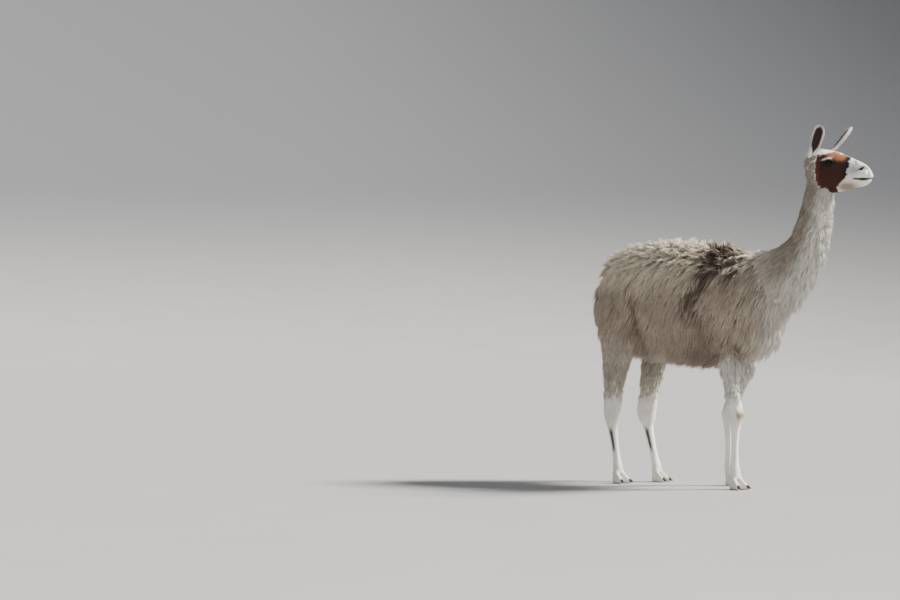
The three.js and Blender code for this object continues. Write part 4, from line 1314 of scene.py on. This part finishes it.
def new_coat(name, zone, roots, normals, growth, patch_place, rng):
    """A piece of coat: strands on their roots, with colour, tint, place along the strand, and a
    small patch of its own for each strand in the map for baking."""
    sheaf = growth["sheaf"]
    count = len(roots)
    paths, along = combed(roots, normals, growth["lies"], growth, rng)
    rooted = np.repeat(np.arange(count), sheaf)
    total = count * sheaf
    across = np.cross(growth["lies"], normals)
    spread = growth["spread"] * np.sqrt(rng.random(total))
    bearing = rng.uniform(0, 2 * math.pi, total)
    offset = (spread * np.cos(bearing))[:, None] * across[rooted]
    offset = offset + (spread * np.sin(bearing))[:, None] * growth["lies"][rooted]
    steps = len(along) - 1
    short = rng.uniform(0.70, 1.0, total)
    reach = along[None, :] * short[:, None]
    below = np.clip(np.searchsorted(along, reach, side="right") - 1, 0, steps - 1)
    part = ((reach - along[below]) / (along[below + 1] - along[below]))[..., None]
    line = paths[rooted[:, None], below] * (1 - part) + paths[rooted[:, None], below + 1] * part
    gather = np.broadcast_to(growth["gather"], count)[rooted]
    gather = (1 - gather[:, None] * reach ** 1.3)[..., None]
    stray = rng.normal(size=(total, 1, 3)) * growth["stray"] * reach[..., None]
    sunk = growth["sunk"] + spread ** 2 / (2 * growth["bend"])
    root = roots[rooted] + offset - normals[rooted] * sunk[:, None]
    line = line + root[:, None] - offset[:, None] + offset[:, None] * gather + stray
    line[..., 2] = np.maximum(line[..., 2], 2 * MM)
    width = np.broadcast_to(growth["width"], count)[rooted] * rng.uniform(0.7, 1.3, total)
    points, faces = strands(line, along, normals[rooted], width, rng)
    piece = new_piece(name, new_mesh(name, points, faces))
    mesh = piece.data
    each = steps * 3 + 1
    shifted = rng.normal(size=(count, 3)) * 1.6 * growth["ragged"]
    ragged = root + shifted[rooted] + rng.normal(size=(total, 3)) * growth["ragged"]
    set_colour(mesh, "coat_colour", np.repeat(zone_colour(zone, ragged, normals[rooted]), each, axis=0))
    lock_tint = rng.random(count)[rooted]
    set_value(mesh, "tint", np.repeat(0.55 * lock_tint + 0.45 * rng.random(total), each))
    shown = growth.get("shown", 0.0)
    climb = np.append(np.repeat(along[:-1], 3), 1)
    set_value(mesh, "along", np.tile(shown + (1 - shown) * climb, total))
    u, v = patch_place(root)
    corner_u = np.append(np.tile(np.arange(3) / 3, steps), 0.5) * TUFT_PATCH
    corner_v = climb * TUFT_PATCH
    flat = stacked((u[:, None] + corner_u).ravel(), (v[:, None] + corner_v).ravel())
    corners = values_of(mesh.loops, "vertex_index", 1, np.int32)[:, 0]
    layer = mesh.uv_layers.new(name="OFBake")
    layer.data.foreach_set("uv", flat[corners].astype(np.float32).ravel())
    mesh.materials.append(fleece)
    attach(piece, "root")
    return piece


MAP_EDGE = 0.02
MAP_SPAN = 0.94


def round_axis(along, beside, over, low, high):
    """Places in the map for baking: along the part's middle line, and the angle round it."""
    u = MAP_EDGE + MAP_SPAN * np.clip((along - low) / (high - low), 0, 1)
    return u, MAP_EDGE + MAP_SPAN * (np.arctan2(beside, over) / (2 * math.pi) + 0.5)


TRUNK_AXIS = 0.87  # height of the trunk's middle line


def trunk_patch(roots):
    """Along the trunk and round it."""
    return round_axis(roots[:, 0], roots[:, 1], roots[:, 2] - TRUNK_AXIS, -0.55, 0.60)


def upright_patch(roots):
    """Up the part and round it, for the neck, the tail and the legs."""
    x = roots[:, 0]
    slope = np.polyfit(roots[:, 2], x, 1)
    middle_y = (roots[:, 1].min() + roots[:, 1].max()) / 2
    low, high = roots[:, 2].min(), roots[:, 2].max()
    over = x - np.polyval(slope, roots[:, 2])
    return round_axis(roots[:, 2], roots[:, 1] - middle_y, over, low, high + 1e-6)


NECK_START = 0.98
TAIL_TOP = 0.96
TAIL_FRONT = -0.485
LEG_TOP = 0.60
LEG_END = 0.52  # above the hidden lower ends of the upper legs
# Which triangles of the hide lie on the neck, the tail, the legs and the trunk.
x, y, z = triangle_middle.T
on_body = triangle_zone == 0
tail_x, tail_depth, tail_width = along_stations(TAIL, np.clip(z, TAIL[-1, 0], TAIL[0, 0]))
on_tail = on_body & (np.abs(y) < tail_width) & (x < tail_x + tail_depth)
on_tail = on_tail & (z < TAIL_TOP) & (x < TAIL_FRONT)
on_leg = on_body & ~on_tail & (z < LEG_TOP) & (triangle_normal[:, 2] > -0.55)
on_neck = on_body & (towards_head(x, z) > NECK_START)
on_trunk = on_body & ~on_tail & ~on_leg & ~on_neck & (z > LEG_END)


def off_middle(across, over, half_across, half_over, squareness):
    """How far a section's outline stands beyond a point, on the line from the section's middle
    through the point: the point's distance, times what is missing to the outline's share 1."""
    share = np.abs(across / half_across) ** squareness + np.abs(over / half_over) ** squareness
    share = np.maximum(share ** (1 / squareness), 0.2)
    return np.hypot(across, over) * (1 / share - 1)


def room_over(points):
    """How deep the coat may stand on points of the body's hide: the farthest outline over each, of
    the trunk's section there or of a leg's, and how near each lies to a foreleg."""
    x, y, z = points.T
    top, bottom, half_width = along_stations(TRUNK, np.clip(x, TRUNK[0, 0], TRUNK[-1, 0]))
    rise = z - (bottom + TRUNK_MIDDLE * (top - bottom))
    half_over = np.where(rise > 0, 1 - TRUNK_MIDDLE, TRUNK_MIDDLE) * (top - bottom)
    room = off_middle(y, rise, half_width, half_over, 2.35)
    by_leg = np.zeros(len(points))
    for leg in LEGS:
        top_z = leg["stations"][0, 0]
        leg_x, leg_y, depth, width = along_stations(leg["stations"], np.clip(z, 0.3, top_z))
        beside = y - leg["side"] * leg_y
        ahead = x - leg_x
        over_leg = off_middle(beside, ahead, width, depth, LIMB_SQUARENESS)
        near = (np.abs(beside) < width) & (np.abs(ahead) < depth) & (z < top_z)
        room = np.where(near, np.maximum(room, over_leg), room)
        if not leg["hind"]:
            away = smoothstep(np.hypot(beside / width, ahead / depth), 1.0, 1.6)
            by_leg = np.maximum(by_leg, (1 - away) * (1 - smoothstep(z, 0.64, 0.74)))
    return room, by_leg


def grown(normals, fall, length, depth, rng, **rest):
    """How hair grows: its fall pressed flat on the hide, its length and the coat's depth, each
    times a random share between the two given after it, and the rest as it is given."""
    count = len(normals)
    return {
        "lies": laid(fall, normals),
        "length": length[0] * rng.uniform(length[1], length[2], count),
        "depth": depth[0] * rng.uniform(depth[1], depth[2], count),
        "phase": rng.uniform(0, 6.3, count),
        **rest,
    }


def trunk_growth(roots, normals, rng):
    """How the trunk's fleece grows: down and a little back, outwards over the back and straight
    back along the spine and belly. It is clumped on the back and even on the flanks, shorter at
    the rump and beside the legs, and longest at the breast."""
    x, y, z = roots.T
    count = len(roots)
    side = np.clip(y / 0.05, -1, 1)
    up = normals[:, 2]
    fall = stacked(-0.3 - 1.6 * np.maximum(-up - 0.45, 0), 0.9 * side * np.maximum(up, 0), -1.0)
    tousled = 0.10 + 0.12 * smoothstep(up, 0.2, 0.7)
    fall = unit(fall) + rng.normal(size=(count, 3)) * tousled[:, None]
    back = smoothstep(up, 0.25, 0.75)
    room, by_leg = room_over(roots)
    depth = np.clip(np.minimum(trunk_coat(x), room), 12 * MM, TRUNK_COAT) * (1.15 - 0.45 * by_leg)
    length = 0.122 - 0.036 * back - 0.035 * (1 - smoothstep(x, -0.50, -0.36))
    length = length * (0.45 + 0.55 * smoothstep(depth, 0.015, 0.05)) * (1 - 0.35 * by_leg)
    breast = smoothstep(x, 0.36, 0.46)
    length = length + 0.03 * smoothstep(x, 0.30, 0.46) * (1 - smoothstep(z, 0.72, 0.9))
    depth = depth + 0.036 * smoothstep(-up, 0.4, 0.8) * (1 - by_leg) + 0.022 * breast
    return grown(
        normals, fall, (length, 0.82, 1.12), (depth, 0.80 - 0.1 * back, 1.02 + 0.22 * back), rng,
        along=[0, 0.22, 0.5, 0.78, 1] if back.mean() > 0.6 else [0, 0.28, 0.62, 1],
        radius=0.27, rise=0.75 + 0.30 * back, unruly=0.04 + 0.08 * back,
        curl=0.0025 + 0.002 * back, wave=0.08, sheaf=13, spread=0.023, gather=0.55 + 0.30 * back,
        stray=0.0030, sunk=0.006, bend=0.25, width=0.0048 + 0.0010 * back, ragged=0.009,
    )


def neck_growth(roots, normals, rng):
    """How the neck's fleece grows: down its slope, from long at the root to short at the skull."""
    side = np.sign(roots[:, 1])
    fall = stacked(-0.55, 0.25 * side * np.maximum(-normals[:, 0], 0), -1.0)
    fall = unit(fall) + rng.normal(size=fall.shape) * 0.10
    share = smoothstep(roots[:, 2], 0.95, 1.38)
    depth = 1.35 * (NECK_COAT[0] + (NECK_COAT[1] + 2 * MM - NECK_COAT[0]) * share)
    return grown(
        normals, fall, (0.105 - 0.052 * share, 0.82, 1.12), (depth, 0.75, 1.0), rng,
        along=[0, 0.28, 0.62, 1], radius=1.5, rise=0.85, unruly=0.05, curl=0.0025, wave=0.06,
        sheaf=11, spread=0.016, gather=0.65, stray=0.0025, sunk=0.005, bend=0.10,
        width=0.0044 - 0.0014 * share, ragged=0.006,
    )


def wool_growth(roots, normals, rng):
    """How the wool of the thighs and forearms grows: down, shorter towards the knee or hock."""
    fall = stacked(np.where(roots[:, 0] < 0, -0.25, 0.0), 0.0, -1.0)
    fall = unit(fall) + rng.normal(size=fall.shape) * 0.12
    share = smoothstep(roots[:, 2], SHORT_COAT_FROM, SHORT_COAT_TO + 0.08)
    return grown(
        normals, fall, (0.024 + 0.050 * share, 0.8, 1.15), (0.003 + 0.021 * share, 0.7, 1.0), rng,
        along=[0, 0.3, 0.65, 1], radius=1.5, rise=0.3 + 0.4 * share, unruly=0.04, curl=0.002,
        wave=0.05, sheaf=8, spread=0.010, gather=0.65, stray=0.0015, sunk=0.004, bend=0.05,
        width=0.0032, ragged=0.004,
    )


def tail_growth(roots, normals, rng):
    """How the tail's hair grows: straight down, long, and gathered at the end of the tassel."""
    fall = np.array([-0.1, 0, -1]) + rng.normal(size=roots.shape) * 0.10
    length = np.minimum(0.10, np.maximum(roots[:, 2] - 0.63, 0.02))
    return grown(
        normals, fall, (length, 0.85, 1.1), (0.014, 0.7, 1.0), rng,
        along=[0, 0.22, 0.5, 0.78, 1], radius=1.5, rise=0.5, unruly=0.05, curl=0.003, wave=0.06,
        sheaf=9, spread=0.012, gather=0.70, stray=0.003, sunk=0.004, bend=0.05, width=0.0040,
        ragged=0.004,
    )


above = on_trunk & (triangle_normal[:, 2] > 0.45)
beside = on_trunk & ~above
on_rump = beside & (x < -0.24)
on_flank = beside & (x >= -0.24) & (x < 0.04)
on_ribs = beside & (x >= 0.04) & (x < 0.30)
right = y < 0
# Name, where it grows, number of locks, how it grows, and its place in the map for baking.
FLEECE = [
    ["fleece_rump_back", above & (x < -0.12), 420, trunk_growth, trunk_patch],
    ["fleece_withers", above & (x >= -0.12), 450, trunk_growth, trunk_patch],
    ["fleece_right_rump", on_rump & right, 480, trunk_growth, trunk_patch],
    ["fleece_left_rump", on_rump & ~right, 480, trunk_growth, trunk_patch],
    ["fleece_right_flank", on_flank & right, 495, trunk_growth, trunk_patch],
    ["fleece_left_flank", on_flank & ~right, 495, trunk_growth, trunk_patch],
    ["fleece_right_ribs", on_ribs & right, 430, trunk_growth, trunk_patch],
    ["fleece_left_ribs", on_ribs & ~right, 430, trunk_growth, trunk_patch],
    ["fleece_breast", beside & (x >= 0.30), 425, trunk_growth, trunk_patch],
    ["fleece_right_neck", on_neck & right, 530, neck_growth, upright_patch],
    ["fleece_left_neck", on_neck & ~right, 530, neck_growth, upright_patch],
    ["fleece_tail", on_tail, 150, tail_growth, upright_patch],
]
for index, (name, where, locks, growth, patch_place) in enumerate(FLEECE):
    rng = np.random.default_rng(100 + index)
    roots, normals = scattered(rng, where, locks)
    new_coat(name, "body", roots, normals, growth(roots, normals, rng), patch_place, rng)

# Wool of the legs
# The thighs and forearms carry shorter wool in small locks. It grows from the skin like the fleece
# and thins out above the hock and the knee, where the short hair begins.

LEG_LOCKS = 325
WOOL_END = {False: 0.375, True: 0.345}  # height on a foreleg and on a hind leg
LOWER_LEG_TOP = 0.455  # where the upper leg's hide takes over
for index, leg in enumerate(LEGS):
    rng = np.random.default_rng(200 + index)
    ahead = x > 0
    own = (np.sign(y) == leg["side"]) & (ahead != leg["hind"])
    shown = (z > WOOL_END[leg["hind"]]) & (z < LOWER_LEG_TOP)
    shown = (triangle_zone == ZONES.index(leg["name"])) & shown
    upright = np.abs(triangle_normal[:, 2]) < 0.35 + 0.45 * smoothstep(z, 0.47, 0.50)
    woolly = own & upright & ((on_leg & (z > 0.452)) | shown)
    roots, normals = scattered(rng, woolly, LEG_LOCKS)
    growth = wool_growth(roots, normals, rng)
    new_coat("wool_" + leg["name"], "wool", roots, normals, growth, upright_patch, rng)

# Short hair of the face, ears and lower legs
# Short stiff hairs lie close to the skin, backwards over the face, upwards along the ears and
# down the legs. They are longer on the crown and round the ears' rims.


def short_growth(roots, lies, length, rise, width, rng):
    """How short hair grows: single hairs that lie close to the skin."""
    count = len(roots)
    return {
        "lies": lies, "length": length * rng.uniform(0.7, 1.2, count), "depth": length * rise,
        "phase": rng.uniform(0, 6.3, count), "along": [0, 1], "radius": 5.0, "rise": 0.6,
        "unruly": 0.10, "curl": 0.0006, "wave": 0.02, "sheaf": 1, "spread": 0.0, "gather": 0.0,
        "stray": 0.0, "sunk": 0.0012, "bend": 1.0, "width": width, "ragged": 0.0015, "shown": 0.72,
    }


def turned_with_head(vector):
    """A direction of the head's frame, backwards, to the left and up, in the llama's own."""
    return from_head(np.asarray(vector, float)) - NOSE


def head_patch(roots):
    """Along the head and round it."""
    behind, left, up = in_head(roots).T
    return round_axis(behind, left, up - 0.03, -0.02, 0.32)


FACE_HAIRS = 15500
POLL_LOCKS = 230
EAR_HAIRS = 2600
LEG_HAIRS = 4200
on_head = triangle_zone == ZONES.index("head")
head_middle = in_head(triangle_middle)
away_from_eye = np.ones(len(triangle_middle))
for side in (-1, 1):
    away_from_eye *= np.linalg.norm(head_middle - EYE * [1, side, 1], axis=1) > EYE_RADIUS + 7 * MM
inner_mouth = np.abs(head_middle[:, 2] - MOUTH_UP) < 4 * MM
inner_mouth &= head_middle[:, 0] < 90 * MM
off_nostril = np.hypot((head_middle[:, 0] - 0.031) / 0.031, (head_middle[:, 2] - 0.037) / 0.014) > 1
rng = np.random.default_rng(300)
face_weight = on_head * away_from_eye * off_nostril * (head_middle[:, 0] > 8 * MM) * ~inner_mouth
roots, normals = scattered(rng, face_weight * (1 + 1.5 * (head_middle[:, 0] < 0.12)), FACE_HAIRS)
behind, left, up = in_head(roots).T
crown = smoothstep(behind, 0.20, 0.27) * smoothstep(up, 0.085, 0.115)
nape = smoothstep(behind, 0.24, 0.29)
back_along = turned_with_head([1, 0, -0.15])
lies = laid(back_along + rng.normal(size=roots.shape) * 0.16, normals)
length = 0.006 + 0.006 * smoothstep(behind, 0.03, 0.20) + 0.016 * crown + 0.012 * nape
growth = short_growth(roots, lies, length, 0.16 + 0.45 * crown, 0.0012 + 0.0012 * crown, rng)
new_coat("face_hair", "head", roots, normals, growth, head_patch, rng)

rng = np.random.default_rng(305)
roots, normals = scattered(rng, on_head * smoothstep(head_middle[:, 0], 0.235, 0.26), POLL_LOCKS)
behind, left, up = in_head(roots).T
crest = smoothstep(up, 0.07, 0.11)[:, None]
fall = turned_with_head([0.6, 0, -1.0]) + turned_with_head([1.2, 0, 0.3]) * crest
ruff = neck_growth(roots, normals, rng)
ruff["lies"] = laid(unit(fall) + rng.normal(size=roots.shape) * 0.12, normals)
ruff["length"] = (0.042 - 0.018 * smoothstep(up, 0.08, 0.12)) * rng.uniform(0.8, 1.15, len(roots))
ruff["depth"] = (0.010 - 0.004 * smoothstep(up, 0.08, 0.12)) * rng.uniform(0.7, 1.0, len(roots))
ruff["spread"] = 0.009
new_coat("fleece_poll", "body", roots, normals, ruff, head_patch, rng)

for index, ear in enumerate(EARS):
    rng = np.random.default_rng(310 + index)
    root, rise, across, out = ear_frame(ear)
    own = triangle_zone == ZONES.index(ear["name"])
    climb, sway, depth, half = on_ear(ear, triangle_middle)
    hairy = smoothstep(sway, 0.7, 0.9) * 3 + (depth < -0.55 * half) * 0.8
    roots, normals = scattered(rng, own * (climb > 0.02) * hairy, EAR_HAIRS)
    climb = on_ear(ear, roots)[0]
    upwards = unit(turned_with_head(rise))
    lies = laid(upwards + rng.normal(size=roots.shape) * 0.20, normals)
    length = 0.011 * (1 - 0.4 * smoothstep(climb, 0.8, 1.0))

    def ear_patch(roots):
        """Along the ear and round it."""
        local = in_head(roots) - root
        return round_axis(local @ unit(rise), local @ across, local @ out, -0.02, 0.15)

    growth = short_growth(roots, lies, length, 0.3, 0.0015, rng)
    new_coat("hair_" + ear["name"], ear["name"], roots, normals, growth, ear_patch, rng)

for index, leg in enumerate(LEGS):
    rng = np.random.default_rng(320 + index)
    own = triangle_zone == ZONES.index(leg["name"])
    height = triangle_middle[:, 2]
    roots, normals = scattered(rng, own & (height < 0.42) & (height > 0.012), LEG_HAIRS)
    fall = np.array([0.0, 0.0, -1.0]) + rng.normal(size=roots.shape) * 0.14
    fall = fall + np.array([0.8, 0, 0]) * (1 - smoothstep(roots[:, 2], 0.03, 0.06))[:, None]
    length = 0.011 - 0.004 * (1 - smoothstep(roots[:, 2], 0.02, 0.08))
    growth = short_growth(roots, laid(fall, normals), length, 0.15, 0.0013, rng)
    name = "hair_" + leg["name"]
    new_coat(name, leg["name"], roots, normals, growth, upright_patch, rng)

# Eyes
# Large dark wet eyes. Each is a ball with a slight bulge of clear cornea over a brown ring and a
# long level pupil, and dark lashes stand out over its upper lid.


def eye_points(side, rings=48, sides=64):
    """An eyeball, with a cornea that bulges where it faces out between the lids."""
    turn = np.linspace(0.03, math.pi - 0.03, rings)[:, None]
    angle = ring_angles(sides)
    way_out, backwards = eye_ways(side)
    radius = EYE_RADIUS - 0.4 * MM + 1.0 * MM * bell(turn / 0.55)
    a = (radius * np.cos(turn))[..., None] * way_out
    b = (radius * np.sin(turn) * np.cos(angle))[..., None] * backwards
    c = (radius * np.sin(turn) * np.sin(angle))[..., None] * np.array([0, 0, 1])
    return EYE * [1, side, 1] + a + b + c


def eye_material():
    """A wet eye: a nearly black ball with a dim brown ring round a black level pupil."""
    material, tree, shader = new_material("eye")
    ring = attribute(tree, "iris")
    fibres = noise(tree, object_places(tree), 700, 3)
    brown = mixed(tree, fibres, (0.008, 0.004, 0.003, 1), (0.028, 0.012, 0.006, 1))
    colour = mixed(tree, ring, (0.006, 0.005, 0.005, 1), brown)
    tree.links.new(colour.socket, shader.inputs["Base Color"])
    shader.inputs["Roughness"].default_value = 0.08
    shader.inputs["Specular IOR Level"].default_value = 0.14
    return material


eye_finish = eye_material()
for side_name, side in (("right", -1), ("left", 1)):
    points, faces = outwards(tube(from_head(eye_points(side))))
    eye = new_piece("eyeball_" + side_name, new_mesh("eyeball_" + side_name, points, faces))
    way_out, backwards = eye_ways(side)
    offset = in_head(points) - EYE * [1, side, 1]
    upright = offset[:, 2] / MM
    level = (offset @ backwards) / MM
    pupil = np.hypot(level / 6.5, upright / 3.0)
    ring = smoothstep(pupil, 0.85, 1.15) * (1 - smoothstep(np.hypot(level, upright), 10.5, 12.5))
    set_value(eye.data, "iris", ring * (offset @ way_out > 0))
    eye.data.materials.append(eye_finish)
    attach(eye, "root")
    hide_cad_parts("eye_" + side_name)

LASHES = 90  # on each upper lid
rng = np.random.default_rng(400)
lash_roots = []
lash_lies = []
for side in (-1, 1):
    share = rng.uniform(-0.95, 0.95, LASHES)
    along = share * SLIT_LENGTH
    over = slit_height(along) + 1.0 * MM
    level = along * math.cos(EYE_TILT) - over * math.sin(EYE_TILT)
    upright = along * math.sin(EYE_TILT) + over * math.cos(EYE_TILT)
    depth = np.sqrt((EYE_RADIUS + LID) ** 2 - level ** 2 - upright ** 2)
    way_out, backwards = eye_ways(side)
    place = EYE * [1, side, 1] + depth[:, None] * way_out + level[:, None] * backwards
    place[:, 2] += upright
    way = way_out + backwards * (share * 0.5)[:, None] + np.array([0, 0, -0.25])
    lash_roots.append(from_head(place))
    lash_lies.append(turned_with_head(way))
lash_roots = np.vstack(lash_roots)
lash_lies = unit(np.vstack(lash_lies) + rng.normal(size=lash_roots.shape) * 0.10)
lash_growth = short_growth(lash_roots, lash_lies, np.full(len(lash_roots), 0.016), 0.1, 0.0010, rng)
lash_growth["rise"] = -0.4
lash_tops = laid(np.array([0.0, 0.0, 1.0]), lash_lies)
lashes = new_coat("lashes", "head", lash_roots, lash_tops, lash_growth, head_patch, rng)


def horn_material(name, low, high):
    """Dark horn: growth lines across it and a worn sheen."""
    material, tree, shader = new_material(name)
    places = object_places(tree)
    rings = noise(tree, stretched(tree, places, (1, 1, 3)), 260, 3)
    tree.links.new(mixed(tree, rings, (*low, 1), (*high, 1)).socket, shader.inputs["Base Color"])
    tree.links.new((0.34 + 0.25 * rings).socket, shader.inputs["Roughness"])
    tree.links.new(bumped(tree, rings, 0.35, 0.0008).socket, shader.inputs["Normal"])
    return material


lashes.data.materials.clear()
lashes.data.materials.append(horn_material("lash", (0.010, 0.007, 0.006), (0.03, 0.02, 0.016)))

# Nails
# Each toe ends in a short nail of dark horn, which grows from the toe's end. It curves down to the
# floor and has a ridge along the top.

NAIL_START = 43 * MM  # ahead of the fetlock
NAIL_LENGTH = 25 * MM
nail_finish = horn_material("nail", (0.030, 0.022, 0.017), (0.11, 0.085, 0.065))


def nail_points(leg, toe, rings=28, sides=28):
    """A nail: rounded sections that shrink by the power 0.6 of what is left of its length, along
    a line that drops with the square of the place."""
    place = np.linspace(0, 1, rings)[:, None]
    reach = NAIL_START + NAIL_LENGTH * place
    size = (1 - place) ** 0.6
    half_width = 8 * MM * size + 1.5 * MM
    half_height = 9 * MM * size + 1.5 * MM
    across, rise = rounded(ring_angles(sides), half_width, half_height, half_height, 2)
    ridge = 1 + 0.08 * bell((ring_angles(sides) - math.pi / 2) / 0.3)
    middle, way, turn = foot_place(leg, toe)
    sideways = way * SPLAY * (TOE_ROOT + reach) + across
    height = np.maximum(14 * MM - 6 * MM * place ** 2 + rise * ridge, 0.8 * MM)
    return set_foot(stacked(reach, sideways, height), middle, way, turn)


for leg in LEGS:
    for toe in TOES:
        points, faces = outwards(tube(nail_points(leg, toe)))
        name = leg["name"] + "_horn_" + toe["name"]
        nail = new_piece(name, new_mesh(name, points, faces))
        nail.data.materials.append(nail_finish)
        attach(nail, "root")
        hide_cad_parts(leg["name"] + "_nail_" + toe["name"])

# Floor and light
# A plain pale floor that bends up far away into a darker wall, a soft key light from high up on
# the animal's front left, a weaker one from the camera's side, and a pale grey surround.

FLAT_RADIUS = 25.0
SWEEP_RADIUS = 35.0


def floor_sweep(rings=48, sides=96):
    """A round floor, flat in the middle, whose edge bends up in a quarter circle."""
    turn = np.linspace(0, math.pi / 2, rings - 1)
    reach = np.append(1.0, FLAT_RADIUS + SWEEP_RADIUS * np.sin(turn))[:, None]
    height = np.append(0.0, SWEEP_RADIUS * (1 - np.cos(turn)))[:, None]
    angle = ring_angles(sides)
    return stacked(reach * np.cos(angle), reach * np.sin(angle), height)


floor_points, floor_faces = tube(floor_sweep())
floor = new_piece("floor", new_mesh("floor", floor_points, [floor_faces[0], floor_faces[1]]))
floor_material, floor_tree, floor_shader = new_material("floor")
floor_places = object_places(floor_tree)
grain = noise(floor_tree, floor_places, 1.5, 3)
pale = mixed(floor_tree, grain, (0.36, 0.355, 0.345, 1), (0.40, 0.395, 0.385, 1))
climb = add_node(floor_tree, "ShaderNodeSeparateXYZ", {}, {0: floor_places}, "Z")
far = add_node(floor_tree, "ShaderNodeMapRange", {"interpolation_type": "SMOOTHSTEP"},
               {"Value": climb, "From Min": 0.0, "From Max": 4.0})
floor_colour = mixed(floor_tree, far, pale, (0.155, 0.161, 0.172, 1))
floor_tree.links.new(floor_colour.socket, floor_shader.inputs["Base Color"])
floor_shader.inputs["Roughness"].default_value = 0.9
floor.data.materials.append(floor_material)


def aimed(name, light, place, target):
    """A lamp of a light, set at a place and turned to a target."""
    lamp = bpy.data.objects.new(name, light)
    away = np.array(place) - np.array(target)
    lamp.location = place
    lean = math.atan2(math.hypot(away[0], away[1]), away[2])
    lamp.rotation_euler = (lean, 0, math.atan2(away[1], away[0]) + math.pi / 2)
    bpy.context.scene.collection.objects.link(lamp)


MIDDLE = [0, 0, 0.9]
key = bpy.data.lights.new("key", "SUN")
key.energy = 11.0
key.angle = math.radians(14)
key.color = (1.0, 0.965, 0.91)
aimed("key", key, [2.8, 2.6, 4.3], MIDDLE)
fill = bpy.data.lights.new("fill", "AREA")
fill.size = 2.5
fill.energy = 60
fill.color = (0.94, 0.97, 1.0)
aimed("fill", fill, [4.5, -5.0, 2.4], MIDDLE)
world = bpy.data.worlds.new("surround")
world.use_nodes = True
world.node_tree.nodes["Background"].inputs["Color"].default_value = (0.80, 0.83, 0.88, 1)
world.node_tree.nodes["Background"].inputs["Strength"].default_value = 0.46
bpy.context.scene.world = world
